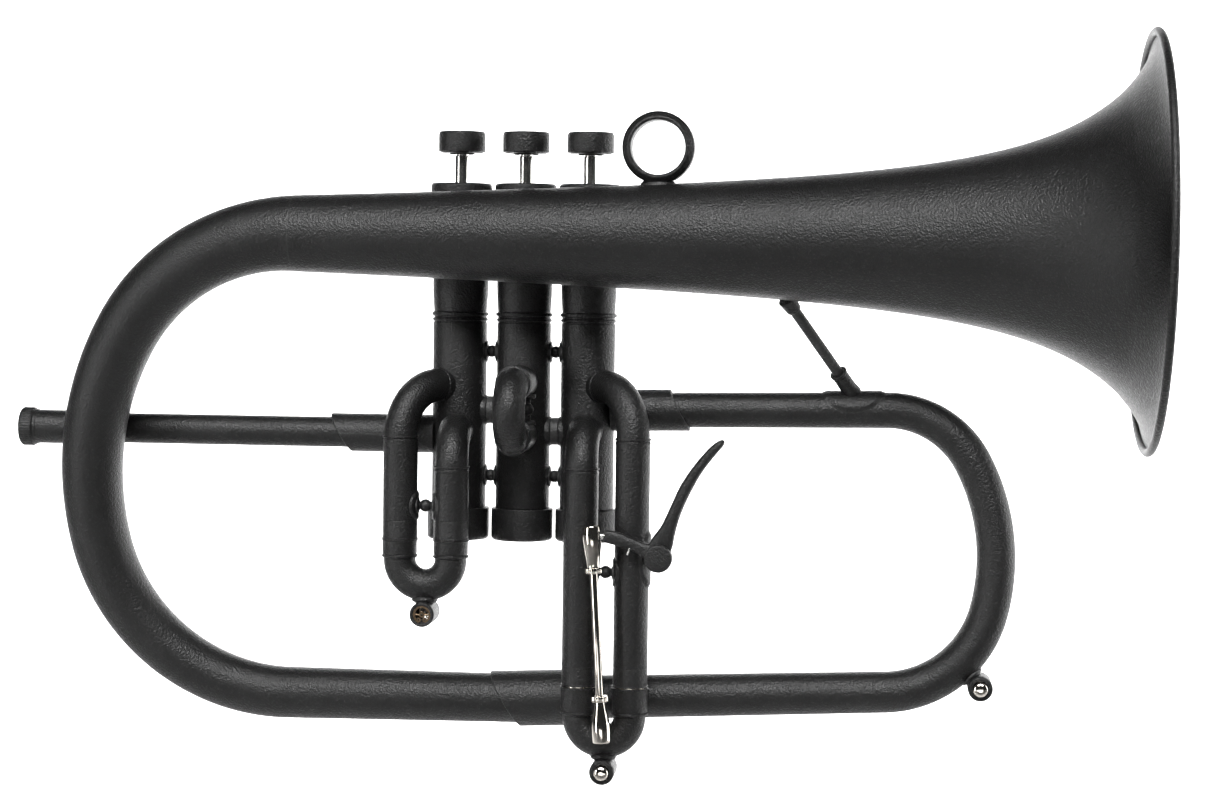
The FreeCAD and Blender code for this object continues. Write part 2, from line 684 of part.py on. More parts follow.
def second_slide_crook():
    x = VALVE_X[1]
    upper, lower = SECOND_PORTS_Z
    half = (upper - lower) / 2
    start = V(x, SECOND_CROOK_Y, upper)
    end = V(x, SECOND_CROOK_Y, lower)
    bend = Part.Arc(start, V(x, SECOND_CROOK_Y - half, lower + half), end).toShape()
    pipe = bent_tube(CROOK_R, CROOK_R - SLIDE_WALL, [bend], start, -Y_AXIS)
    ferrule_y = SECOND_LEG_END - PARTING
    ferrules = [tube(OUTER_R, INNER_R, V(x, ferrule_y, z), V(x, SECOND_CROOK_Y, z))
                for z in SECOND_PORTS_Z]
    return fused([pipe] + ferrules)


def second_slide_inner_legs():
    x = VALVE_X[1]
    return group([tube(INNER_R, INNER_R - 0.45, V(x, SECOND_INNER_START, z), V(x, SECOND_CROOK_Y, z))
                  for z in SECOND_PORTS_Z])


# ---- water keys -----------------------------------------------------------------------------

def crook_bend(legs_x, ferrule_z):
    """Centre and radius of a crook's bend."""
    middle = (legs_x[0] + legs_x[1]) / 2
    return V(middle, SLIDE_Y, ferrule_z - 0.6), (legs_x[1] - legs_x[0]) / 2


def crook_core(legs_x, ferrule_z):
    """Solid of a crook's bend, to cut what is soldered onto it."""
    centre, half = crook_bend(legs_x, ferrule_z)
    return Part.makeTorus(half, CROOK_R, centre, Y_AXIS)


def crook_key(legs_x, ferrule_z):
    """Tube centre, radius, outward direction and solid tube at the bottom of a crook."""
    centre, half = crook_bend(legs_x, ferrule_z)
    return centre - Z_AXIS * half, CROOK_R, -Z_AXIS, crook_core(legs_x, ferrule_z)


def main_key():
    """The same for the key on the front bow's lower bend."""
    stations, side = front_path()
    best = None
    for centre, heading, radius in stations:
        outward = V(-heading.z, 0, heading.x)
        slope = abs(math.degrees(math.atan2(-outward.z, outward.x)) - MAIN_KEY_ANGLE)
        if best is None or slope < best[0]:
            best = (slope, centre, radius, outward.normalize())
    core = Part.makeLoft([section(c, h, side, r) for c, h, r in stations], True)
    return best[1:] + (core,)


def key_centre(place):
    point, tube_r, outward, _ = place
    return point + outward * (tube_r + KEY_STANDOFF)


def key_body(place, button_side):
    """Barrel across the tube with a neck soldered to it; button_side is -1 for the -Y face."""
    point, tube_r, outward, tube_core = place
    centre = key_centre(place)
    half = KEY_LENGTH / 2
    bevel = 0.5
    outline = [(KEY_BORE, -half + 1.0), (NIPPLE_R + 0.25, -half + 1.0), (NIPPLE_R + 0.25, -half),
               (KEY_R - bevel, -half), (KEY_R, -half + bevel), (KEY_R, half - bevel),
               (KEY_R - bevel, half), (KEY_BORE, half)]
    barrel = turned(outline, centre, -Y_AXIS * button_side)
    neck = rod(3.4, point, centre)
    bore = rod(KEY_BORE, centre - Y_AXIS * (half - 1.2), centre + Y_AXIS * (half - 1.2))
    drain = rod(1.1, centre, centre + outward * (KEY_R + 1))
    neck = neck.cut(tube_core).cut(bore)
    return fused([barrel, neck]).cut(drain)


def key_plunger(place, button_side):
    centre = key_centre(place)
    half = KEY_LENGTH / 2
    land = KEY_BORE - RUNNING
    outline = [(0, -half - KEY_TRAVEL - 0.2), (NIPPLE_R - 0.6, -half - KEY_TRAVEL - 0.2),
               (NIPPLE_R, -half - KEY_TRAVEL + 0.4), (NIPPLE_R, -half + 1.1), (land, -half + 1.1),
               (land, -half + 3.6), (1.6, -half + 4.2), (1.6, -half + 6.0), (land, -half + 6.6),
               (land, half - 5.2), (0, half - 5.2)]
    return turned(outline, centre, -Y_AXIS * button_side)


def key_clip(place, button_side):
    """Spring clip with two ears, snapped into the barrel's far end."""
    centre = key_centre(place)
    half = KEY_LENGTH / 2
    ring = [(2.2, half - 1.3), (KEY_BORE, half - 1.3), (KEY_BORE, half - 0.7), (2.2, half - 0.7)]
    clip = turned(ring, V(0, 0, 0))
    gap = Part.makeBox(1.6, 6, 4)
    gap.translate(V(-0.8, -6, half - 3))
    clip = clip.cut(gap)
    ears = [Part.makeCylinder(0.75, 0.6, V(side * 1.45, -1.9, half - 1.3)) for side in (-1, 1)]
    bar = tube(1.0, 0.45, V(0, 0, half - 1.3), V(0, 0, half - 0.7))
    arms = []
    for side in (-1, 1):
        arm = Part.makeBox(1.7, 0.7, 0.6)
        arm.translate(V(0.8 if side > 0 else -2.5, -0.1, half - 1.3))
        arms.append(arm)
    clip = fused([clip, bar] + ears + arms)
    clip.Placement = FreeCAD.Placement(centre, FreeCAD.Rotation(Z_AXIS, -Y_AXIS * button_side))
    return clip


# ---- third slide trigger --------------------------------------------------------------------

def lever_ball():
    tilt = math.radians(LEVER_TILT)
    return PIVOT + V(-LEVER_ARM * math.cos(tilt), 0, LEVER_ARM * math.sin(tilt))


def lever_plate(points, width):
    """Flat plate in the lever's plane; the points steer a smooth closed outline about the pivot."""
    curve = Part.BSplineCurve()
    curve.buildFromPoles([PIVOT + V(x, -width / 2, z) for x, z in points], True, 3)
    return Part.Face(Part.Wire(curve.toShape())).extrude(V(0, width, 0))


def trigger_lever():
    """Bell crank: a flat arm to the link's ball and a curved finger paddle."""
    arm = [(-18.2, 9.6), (-14.2, 8.6), (-8.6, 6.6), (-3.6, 6.8), (0.5, 6.0), (4.0, 2.6),
           (3.6, -2.6), (-0.6, -4.4), (-5.0, -1.2), (-12.6, 2.7), (-17.9, 4.2), (-19.2, 7.0)]
    paddle = [(-3.0, 4.6), (0.6, 10.4), (3.7, 19.2), (7.9, 27.8), (12.9, 35.2), (17.6, 41.4),
              (23.0, 45.4), (25.6, 43.2), (19.6, 37.0), (15.0, 30.4), (11.4, 23.3), (8.6, 15.4),
              (6.4, 5.6), (3.6, -0.6), (-1.8, -0.4)]
    hub_front, hub_back = -2.0, 2.5
    ball_at = lever_ball()
    ball = Part.makeSphere(2.0, ball_at)
    neck = rod(1.1, ball_at, PIVOT + V(-17.0, 0, 7.2))
    hub = rod(HUB_R, PIVOT + Y_AXIS * hub_front, PIVOT + Y_AXIS * hub_back)
    head_room = rod(HUB_R + 0.3, PIVOT - Y_AXIS * 5, PIVOT + Y_AXIS * (hub_front + 0.1))
    spring_room = rod(HUB_R + 0.3, PIVOT + Y_AXIS * (hub_back - 0.1), PIVOT + Y_AXIS * 5)
    limbs = fused([lever_plate(arm, LEVER_THICKNESS), lever_plate(paddle, PADDLE_WIDTH)])
    whole = fused([limbs.cut(head_room).cut(spring_room), hub, neck, ball])
    return whole.cut(rod(PIVOT_PIN_R + RUNNING, PIVOT - Y_AXIS * 5, PIVOT + Y_AXIS * 5))


def trigger_pivot_screw():
    head = [(0, 0), (HUB_R - 0.5, 0), (HUB_R, 0.5), (HUB_R, 1.9), (PIVOT_PIN_R, 1.9), (PIVOT_PIN_R, 14.4),
            (0, 14.4)]
    return turned(head, PIVOT - Y_AXIS * 4.1, Y_AXIS)


def trigger_saddle():
    """Curved plate soldered to the third slide's front leg, with the lug that holds the pivot."""
    leg = V(THIRD_LEGS_X[1], SLIDE_Y, 0)
    low, high = -54.0, -32.4
    plate = tube(OUTER_R + 0.9, OUTER_R, leg + Z_AXIS * low, leg + Z_AXIS * high)
    keep = Part.makeBox(9, 13, high - low)
    keep.translate(V(leg.x + 1.5, leg.y - 6.5, low))
    lug_front = 5.5
    lug = rod(4.0, PIVOT + Y_AXIS * lug_front, PIVOT + Y_AXIS * 11)
    web = Part.makeBox(PIVOT.x - leg.x, 11 - lug_front, 7.0)
    web.translate(V(leg.x, PIVOT.y + lug_front, PIVOT.z - 3.5))
    leg_core = rod(OUTER_R, leg + Z_AXIS * (low - 1), leg + Z_AXIS * (high + 1))
    whole = fused([plate.common(keep), lug, web]).cut(leg_core)
    return whole.cut(rod(PIVOT_PIN_R, PIVOT, PIVOT + Y_AXIS * 11))


def trigger_spring():
    """Torsion spring round the pivot behind the lever."""
    spring = coil(4.0, 0.4, 2.5, 2.0)
    spring.Placement = FreeCAD.Placement(PIVOT + Y_AXIS * 3.0, FreeCAD.Rotation(Z_AXIS, Y_AXIS))
    return spring


def link_axis():
    """Lower socket centre and the direction from it up to the lever's ball."""
    low = STUD_POINT + X_AXIS * LINK_PLAY
    return low, (lever_ball() - low).normalize()


def link_rod():
    low, up = link_axis()
    start = low + up * 12.2
    end = lever_ball() - up * 15.4
    return rod(1.55, start - up * 4, end + up * 4)


def link_socket(ball_at, along, cavity_r, profile):
    """Tapered barrel socket with its lock nut; profile is (radius, distance from the ball)."""
    solid = turned([(0, profile[0][1])] + profile + [(0, profile[-1][1])], ball_at, along)
    nut_at = profile[-1][1]
    nut = rod(3.1, ball_at + along * (nut_at + 0.2), ball_at + along * (nut_at + 2.3))
    return fused([solid, nut]).cut(Part.makeSphere(cavity_r, ball_at))


def link_sockets():
    low, up = link_axis()
    high = lever_ball()
    rod_hole = link_rod()
    upper = link_socket(high, -up, 2.1,
                        [(2.9, -3.2), (3.0, -2.6), (3.2, 0.5), (3.1, 3.5), (2.7, 9.0), (2.5, 12.8)])
    slot = Part.makeBox(6, 3.0, 6.2)
    slot.translate(high + V(0.6, -1.5, -2.4))
    lower = link_socket(low, up, 2.6,
                        [(3.1, -3.9), (3.2, -3.5), (3.4, 0), (3.2, 3.0), (2.6, 7.0), (2.2, 9.8)])
    mouth = Part.makeBox(4.0, 6, 3.4)
    mouth.translate(low + V(-2.0, 0.4, -1.7))
    pieces = [upper.cut(slot).cut(rod_hole), lower.cut(mouth).cut(rod_hole)]
    return group(pieces)


def third_link_stud():
    """Ball stud soldered to the front of the third crook."""
    ball = Part.makeSphere(1.8, STUD_POINT)
    shank = rod(1.1, STUD_POINT, STUD_POINT + Y_AXIS * 8.5)
    flange = rod(2.8, STUD_POINT + Y_AXIS * 5.2, STUD_POINT + Y_AXIS * 8.5)
    return fused([ball, shank, flange]).cut(crook_core(THIRD_LEGS_X, THIRD_FERRULE_Z))


# ---- hand hardware --------------------------------------------------------------------------

def finger_ring():
    """Ring for the little finger with a foot shaped to the bell."""
    inner, outer = RING_R
    half = RING_WIDTH / 2
    outline = [(inner + 0.5, -half), (outer - 0.9, -half), (outer, -half + 1.2), (outer, half - 1.2),
               (outer - 0.9, half), (inner + 0.5, half), (inner, half - 0.8), (inner, -half + 0.8)]
    ring = turned(outline, RING_CENTRE, Y_AXIS)
    foot = Part.makeBox(12.0, RING_WIDTH - 2, 6.0)
    foot.translate(RING_CENTRE + V(-6.0, -half + 1, -outer - 2.6))
    foot = foot.cut(rod(outer - 0.4, RING_CENTRE - Y_AXIS * 9, RING_CENTRE + Y_AXIS * 9))
    x = RING_CENTRE.x
    cone = Part.makeCone(bell_radius(x - 20), bell_radius(x + 20), 40, V(x - 20, BELL_Y, BELL_Z),
                         X_AXIS)
    return fused([ring, foot]).cut(cone)


def bell_brace():
    """Thin strut from the bell down to the main tube."""
    return rod(BRACE_R, BRACE_TOP, BRACE_FOOT).cut(brace_trims())


def brace_trims():
    """Solid bell throat and main tube, to cut the strut and its flanges to shape."""
    x = BRACE_TOP.x
    throat = Part.makeCone(bell_radius(x - 18), bell_radius(x + 18), 36, V(x - 18, BELL_Y, BELL_Z),
                           X_AXIS)
    return throat.fuse(front_cores()[0])


def bell_brace_flanges():
    along = (BRACE_FOOT - BRACE_TOP).normalize()
    top_socket = Part.makeCone(3.4, 2.8, 6.5, BRACE_TOP, along)
    foot_socket = Part.makeCone(2.8, 3.3, 8.0, BRACE_FOOT - along * 8.0, along)
    oval = Part.Face(Part.Wire(Part.Ellipse(BRACE_FOOT, 11.5, 5.6).toShape()))
    pad = oval.extrude(V(0, 0, 14))
    pad.translate(V(0, 0, -9))
    port, bow_top = front_runs()[0]
    skin = Part.makeCone(FRONT_R[0] + 0.8, FRONT_R[1] + 0.8, (bow_top - port).Length, port,
                         bow_top - port)
    pad = pad.common(skin)
    keep = Part.makeBox(60, 40, 30)
    keep.translate(BRACE_FOOT + V(-30, -20, -6))
    trims = brace_trims()
    strut = rod(BRACE_R, BRACE_TOP, BRACE_FOOT)
    foot = fused([foot_socket, pad.common(keep)]).cut(trims).cut(strut)
    return group([top_socket.cut(trims).cut(strut), foot])


# ---- assembly -------------------------------------------------------------------------------

KEYS = {
    "main_water_key": (main_key(), -1),
    "first_water_key": (crook_key(FIRST_LEGS_X, FIRST_FERRULE_Z), 1),
    "third_water_key": (crook_key(THIRD_LEGS_X, THIRD_FERRULE_Z), -1),
}

NODES = {
    "bell": bell, "bell_rim": bell_rim, "bell_supports": bell_supports,
    "rear_bow": rear_bow, "bow_ferrule": bow_ferrule,
    "front_bow": front_bow, "front_ferrule": front_ferrule,
    "mouthpiece_receiver": mouthpiece_receiver, "leadpipe": leadpipe,
    "leadpipe_sleeve": leadpipe_sleeve,
    "top_caps": top_caps, "bottom_caps": bottom_caps, "valve_guides": valve_guides,
    "valve_knuckles": valve_knuckles, "ball_braces": ball_braces,
    "first_elbows": first_elbows, "first_outer_legs": first_outer_legs,
    "first_slide_crook": first_slide_crook, "first_slide_inner_legs": first_slide_inner_legs,
    "second_outer_legs": second_outer_legs,
    "second_slide_crook": second_slide_crook, "second_slide_inner_legs": second_slide_inner_legs,
    "third_elbows": third_elbows, "third_outer_legs": third_outer_legs,
    "third_slide_crook": third_slide_crook, "third_slide_inner_legs": third_slide_inner_legs,
    "third_link_stud": third_link_stud,
    "trigger_lever": trigger_lever, "trigger_pivot_screw": trigger_pivot_screw,
    "trigger_saddle": trigger_saddle, "trigger_spring": trigger_spring,
    "link_rod": link_rod, "link_sockets": link_sockets,
    "finger_ring": finger_ring, "bell_brace": bell_brace,
    "bell_brace_flanges": bell_brace_flanges,
}

PER_VALVE = {
    "valve_casing": valve_casing, "piston": piston, "valve_stem": valve_stem,
    "finger_button": finger_button, "piston_spring": piston_spring,
}

os.makedirs("parts", exist_ok=True)
for name, build in NODES.items():
    build().exportStep(f"parts/{name}.step")
for name, build in PER_VALVE.items():
    for valve in range(len(VALVE_X)):
        build(valve).exportStep(f"parts/{name}_{valve + 1}.step")
for name, (place, button_side) in KEYS.items():
    key_body(place, button_side).exportStep(f"parts/{name}_body.step")
    key_plunger(place, button_side).exportStep(f"parts/{name}_plunger.step")
    key_clip(place, button_side).exportStep(f"parts/{name}_clip.step")
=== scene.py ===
import math
import bmesh
import bpy
from mathutils import Matrix, Vector


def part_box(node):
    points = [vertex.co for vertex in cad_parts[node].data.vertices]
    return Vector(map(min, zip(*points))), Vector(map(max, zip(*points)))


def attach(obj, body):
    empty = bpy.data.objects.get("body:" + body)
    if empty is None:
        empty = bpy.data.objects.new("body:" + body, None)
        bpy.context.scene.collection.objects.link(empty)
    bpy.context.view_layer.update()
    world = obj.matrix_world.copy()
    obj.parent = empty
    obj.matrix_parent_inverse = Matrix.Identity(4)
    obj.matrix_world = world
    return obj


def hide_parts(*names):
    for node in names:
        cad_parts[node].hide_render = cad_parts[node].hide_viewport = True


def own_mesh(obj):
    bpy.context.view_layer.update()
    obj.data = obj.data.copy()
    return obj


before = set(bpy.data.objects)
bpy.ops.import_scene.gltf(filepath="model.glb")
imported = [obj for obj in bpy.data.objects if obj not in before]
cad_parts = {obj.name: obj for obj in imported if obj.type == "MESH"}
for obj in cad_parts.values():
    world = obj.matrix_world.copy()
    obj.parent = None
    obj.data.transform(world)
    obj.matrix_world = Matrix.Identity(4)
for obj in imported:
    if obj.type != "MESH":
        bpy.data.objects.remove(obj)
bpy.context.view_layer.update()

# ---- Bell ---------------------------------------------------------------------------------------
# The bell is one long cone of sheet brass, spun out to a wide flare and powder coated a sandy
# matte black inside and out.  Its mouth is rolled over a wire, which leaves a round bead.
MM = 0.001
X, Y, Z = Vector((1, 0, 0)), Vector((0, 1, 0)), Vector((0, 0, 1))
SHEET = 0.7
LIP_X = 411.5
END_ROW = 0.04


def span(node):
    """Lowest and highest corner of a CAD node, in millimetres like every size in this script."""
    low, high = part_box(node)
    return low / MM, high / MM


def add(tree, kind, inputs=None, **settings):
    """A shader node with its settings, input values and input links."""
    made = tree.nodes.new(kind)
    for key, value in settings.items():
        setattr(made, key, value)
    for key, value in (inputs or {}).items():
        if isinstance(value, bpy.types.NodeSocket):
            tree.links.new(value, made.inputs[key])
        else:
            made.inputs[key].default_value = value
    return made


def ramp(tree, factor, *stops):
    """Colour ramp with (position, grey or colour) stops."""
    made = add(tree, "ShaderNodeValToRGB", {"Fac": factor})
    points = made.color_ramp.elements
    while len(points) < len(stops):
        points.new(0.5)
    for point, (place, tone) in zip(points, stops):
        point.position = place
        point.color = (*tone, 1) if isinstance(tone, tuple) else (tone, tone, tone, 1)
    return made.outputs["Color"]


def finish(name):
    """A new material, its tree, its shader and the place on the piece that its grain follows."""
    material = bpy.data.materials.new(name)
    material.use_nodes = True
    tree = material.node_tree
    shader = tree.nodes["Principled BSDF"]
    return material, tree, shader, add(tree, "ShaderNodeTexCoord").outputs["Object"]


def emboss(tree, shader, height, strength, distance):
    """Lets a grain stand up from the surface, by a distance in metres."""
    bump = add(tree, "ShaderNodeBump",
               {"Strength": strength, "Distance": distance, "Height": height})
    tree.links.new(bump.outputs["Normal"], shader.inputs["Normal"])


def sandy_black(name, dark=0.0035, light=0.0085):
    """Powder coat: a fine baked grit whose tops are painted lighter as a painted glint, and sharp
    edges painted lighter, partly for a coat a little thin there and partly as a painted edge
    highlight.
    """
    material, tree, shader, place = finish(name)
    grit = add(tree, "ShaderNodeTexNoise",
               {"Vector": place, "Scale": 1000.0, "Detail": 2.0, "Roughness": 0.6})
    pebble = add(tree, "ShaderNodeTexVoronoi", {"Vector": place, "Scale": 1500.0})
    cloud = add(tree, "ShaderNodeTexNoise", {"Vector": place, "Scale": 26.0, "Detail": 5.0})
    dent = add(tree, "ShaderNodeMath", {0: pebble.outputs["Distance"], 1: 0.45},
               operation="MULTIPLY")
    height = add(tree, "ShaderNodeMath", {0: grit.outputs["Fac"], 1: dent.outputs[0]},
                 operation="SUBTRACT").outputs[0]
    body = ramp(tree, cloud.outputs["Fac"], (0.32, dark), (0.68, light))
    # The grit's tops are painted a lighter colour (the grey below): a painted glint where the grain
    # would catch the light.
    grit_glint = ramp(tree, height, (0.22, 0.0), (0.42, 0.12), (0.56, 1.0))
    # Sharp edges are painted lighter: partly the real thin, rubbed coat there, partly a painted edge
    # highlight.
    edge = ramp(tree, add(tree, "ShaderNodeNewGeometry").outputs["Pointiness"],
                (0.52, 0.0), (0.60, 0.6))
    lit = add(tree, "ShaderNodeMix", {"Factor": grit_glint, "A": body, "B": (0.017, 0.017, 0.0175, 1)},
              data_type="RGBA")
    worn = add(tree, "ShaderNodeMix",
               {"Factor": edge, "A": lit.outputs["Result"], "B": (0.05, 0.05, 0.049, 1)},
               data_type="RGBA")
    tree.links.new(worn.outputs["Result"], shader.inputs["Base Color"])
    dull = add(tree, "ShaderNodeMapRange",
               {"Value": height, "From Min": 0.2, "From Max": 0.55, "To Min": 0.47, "To Max": 0.31})
    tree.links.new(dull.outputs["Result"], shader.inputs["Roughness"])
    emboss(tree, shader, height, 1.0, 0.0003)
    shader.inputs["Specular IOR Level"].default_value = 0.5
    return material


def piece(name, parts, material, body, *nodes, crease=32.0):
    """Mesh from one or more (vertices, faces) parts; it rides on a body and stands for nodes."""
    vertices, faces = [], []
    for part_vertices, part_faces in parts:
        first = len(vertices)
        vertices += [Vector(v) * MM for v in part_vertices]
        faces += [tuple(first + k for k in face) for face in part_faces]
    mesh = bpy.data.meshes.new(name)
    mesh.from_pydata(vertices, [], faces)
    form = bmesh.new()
    form.from_mesh(mesh)
    bmesh.ops.remove_doubles(form, verts=form.verts, dist=1e-6)
    bmesh.ops.recalc_face_normals(form, faces=form.faces)
    for face in form.faces:
        face.smooth = True
    for edge in form.edges:
        edge.smooth = edge.calc_face_angle(0.0) < math.radians(crease)
    form.to_mesh(mesh)
    form.free()
    mesh.materials.append(material)
    made = bpy.data.objects.new(name, mesh)
    bpy.context.scene.collection.objects.link(made)
    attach(made, body)
    if nodes:
        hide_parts(*nodes)
    return made


def soldered(name, *parts):
    """A coated piece fixed on the horn, which stands for the node of its own name."""
    piece(name, parts, coat, "horn", name)


def rounded(outline, bevel, steps=4, closed=True):
    """The same outline with every corner turned into a small curve."""
    out = []
    for i, corner in enumerate(outline):
        here = Vector(corner)
        if not closed and i in (0, len(outline) - 1):
            out.append(here)
            continue
        back = Vector(outline[i - 1]) - here
        ahead = Vector(outline[(i + 1) % len(outline)]) - here
        cut = min(bevel, back.length * 0.45, ahead.length * 0.45)
        start = here + back.normalized() * cut
        end = here + ahead.normalized() * cut
        for k in range(steps + 1):
            t = k / steps
            out.append(start * (1 - t) ** 2 + here * 2 * t * (1 - t) + end * t * t)
    return out


def skin(rings, sides, closed):
    """Faces that join each ring of corners to the next; closed joins the last to the first."""
    faces = []
    for i in range(rings if closed else rings - 1):
        here, there = i * sides, (i + 1) % rings * sides
        for k in range(sides):
            n = (k + 1) % sides
            faces.append((here + k, here + n, there + n, there + k))
    return faces


def lathe(outline, origin, axis, closed=True, sides=96):
    """Turned solid; the outline is (radius, distance along the axis) from the origin."""
    along = Vector(axis).normalized()
    across = along.orthogonal().normalized()
    up = along.cross(across)
    turn = [2 * math.pi * k / sides for k in range(sides)]
    ring = [across * math.cos(a) + up * math.sin(a) for a in turn]
    vertices = [Vector(origin) + along * h + spoke * r for r, h in outline for spoke in ring]
    return vertices, skin(len(outline), sides, closed)


rim_low, rim_high = span("bell_rim")
BEAD_R = (rim_high.x - rim_low.x) / 2
bell_axis = Vector((0, (rim_low.y + rim_high.y) / 2, (rim_low.z + rim_high.z) / 2))
mouth_r = (rim_high.z - rim_low.z) / 2 - BEAD_R
bead_x = (rim_low.x + rim_high.x) / 2
bell_back = span("bell")[0].x


def bell_radius(x):
    """Outer radius of the bell: a slow cone plus a flare that grows towards the mouth."""
    return 12.17 + 0.02456 * (x - 100) + 54100 * (475.39 - x) ** -1.7726


def bezier(a, b, c, d, steps):
    """Points on a curve that leaves a towards b and arrives at d from c."""
    points = []
    for k in range(1, steps + 1):
        t = k / steps
        points.append(a * (1 - t) ** 3 + b * 3 * t * (1 - t) ** 2 + c * 3 * t * t * (1 - t)
                      + d * t ** 3)
    return points


lip_start = Vector((bell_radius(LIP_X), LIP_X))
lip_end = Vector((mouth_r, bead_x + 0.4))
bell_line = [Vector((bell_radius(x), x)) for x in
             (bell_back + (LIP_X - bell_back) * (1 - (1 - k / 90) ** 1.5) for k in range(91))]
bell_line.insert(1, bell_line[0].lerp(bell_line[1], END_ROW))
bell_line += bezier(lip_start, lip_start + Vector((6.0, 5.2)), lip_end - Vector((8.5, 0.5)),
                    lip_end, 20)
bell_inside = []
for i, point in enumerate(bell_line):
    run = bell_line[min(i + 1, len(bell_line) - 1)] - bell_line[max(i - 1, 0)]
    bell_inside.append(point + Vector((-run.y, run.x)).normalized() * SHEET)
coat = sandy_black("sandy black coat")
soldered("bell", lathe(bell_line + bell_inside[::-1], bell_axis, X, sides=160))
bead_line = [(mouth_r + BEAD_R * math.cos(a), bead_x + BEAD_R * math.sin(a))
             for a in (2 * math.pi * k / 24 for k in range(24))]
piece("bell_rim_bead", [lathe(bead_line, bell_axis, X, sides=160)], coat, "horn", "bell_rim")

# ---- Rear bow and front bow ---------------------------------------------------------------------
# The two bows are drawn and bent brass tube.  The rear bow swings down from the bell round the
# leadpipe; the front bow comes out of the third valve, turns back and meets it in a ferrule.
REAR_BENDS = [(75.0, 59.1), (110.8, 43.2), (72.2, 77.9)]
REAR_R = (13.0, 9.7, 9.1)
REAR_END_X = 199.0
FRONT_START = Vector((330.0, 0, 11.9))
FRONT_BENDS = [(35.5, 62.8), (77.0, 42.6), (40.6, 73.0)]
FRONT_R = (6.5, 6.7, 7.7, 8.2)
PORT_Z = 10.0
BOW_FOOT_Y = -4.0
INTO_CASING = 9.0
VALVE_X = [(span(f"valve_casing_{n}")[0].x + span(f"valve_casing_{n}")[1].x) / 2
           for n in (1, 2, 3)]


def walk(start, angle, bends, turn, step=2.0):
    """(x, z, angle) along tangent arcs of (radius, degrees); turn is 1 to the left."""
    x, z = start.x, start.z
    points = [(x, z, angle)]
    for radius, degrees in bends:
        count = round(degrees / step)
        part = math.radians(degrees / count)
        chord = 2 * radius * math.sin(part / 2)
        for _ in range(count):
            angle += turn * part / 2
            x += chord * math.cos(angle)
            z += chord * math.sin(angle)
            angle += turn * part / 2
            points.append((x, z, angle))
    return points


def leaned(points, top_y, bottom_y, radii):
    """Stations of a flat path whose depth changes evenly from its top to its bottom."""
    slant = (top_y - bottom_y) / (points[0][1] - points[-1][1])
    stations = []
    for (x, z, angle), r in zip(points, radii):
        heading = Vector((math.cos(angle), slant * math.sin(angle), math.sin(angle)))
        centre = Vector((x, top_y - slant * (points[0][1] - z), z))
        stations.append((centre, heading.normalized(), r))
    return stations, Vector((0, 1, -slant)).normalized()


def sweep(stations, side, wall=SHEET, sides=64):
    """Tube through (centre, heading, radius) stations, open at both ends."""
    turn = [2 * math.pi * k / sides for k in range(sides)]
    stations = list(stations)
    for at, near, far in ((1, 0, 1), (len(stations), -1, -2)):
        a, b = stations[near], stations[far]
        stations.insert(at, (a[0].lerp(b[0], END_ROW), a[1], a[2] + (b[2] - a[2]) * END_ROW))
    rings = []
    for inside in (False, True):
        for centre, heading, r in (stations[::-1] if inside else stations):
            up = heading.cross(side).normalized()
            reach = r - wall if inside else r
            rings.append([centre + (side * math.cos(a) + up * math.sin(a)) * reach for a in turn])
    return [v for ring in rings for v in ring], skin(len(rings), sides, True)


def run_on(station, x, radius, steps=24):
    """Straight stations from a bend's end to a given X, ending at the given radius."""
    centre, heading, r = station
    reach = (x - centre.x) / heading.x
    return [(centre + heading * reach * k / steps, heading, r + (radius - r) * k / steps)
            for k in range(1, steps + 1)]


rear_flat = walk(Vector((bell_back, 0, bell_axis.z)), math.pi, REAR_BENDS, 1)
shares = [k / (len(rear_flat) - 1) for k in range(len(rear_flat))]
rear_radii = [REAR_R[0] + (REAR_R[1] - REAR_R[0]) * s + 1.04 * (1 - s) ** 8 for s in shares]
rear, rear_side = leaned(rear_flat, bell_axis.y, BOW_FOOT_Y, rear_radii)
soldered("rear_bow", sweep(rear + run_on(rear[-1], REAR_END_X, REAR_R[2]), rear_side))

rise = math.atan2(FRONT_START.z - PORT_Z, FRONT_START.x - VALVE_X[2])
front_flat = walk(FRONT_START, rise, FRONT_BENDS, -1)
shares = [k / (len(front_flat) - 1) for k in range(len(front_flat))]
front_radii = [FRONT_R[1] + (FRONT_R[2] - FRONT_R[1]) * s for s in shares]
front, front_side = leaned(front_flat, 0.0, BOW_FOOT_Y, front_radii)
main_run = run_on(front[0], VALVE_X[2] + INTO_CASING, FRONT_R[0])[::-1]
foot_run = run_on(front[-1], REAR_END_X + 2.0, FRONT_R[3])
soldered("front_bow", sweep(main_run + front + foot_run, front_side))

# ---- Ferrules and leadpipe sleeve ---------------------------------------------------------------
# Three brass sleeves with an end cut on a slant cover the soldered joints of the main tubes.
# The leadpipe's sleeve is lapped inside, because the leadpipe slides in it for tuning.
BOW_FERRULE_R, BOW_FERRULE_X = 10.5, (183.5, 194.4, 219.0)
FRONT_FERRULE_R, FRONT_FERRULE_X = 7.85, (249.4, 256.7)
SLEEVE_R, SLEEVE_X = 7.2, (120.5, 128.3)


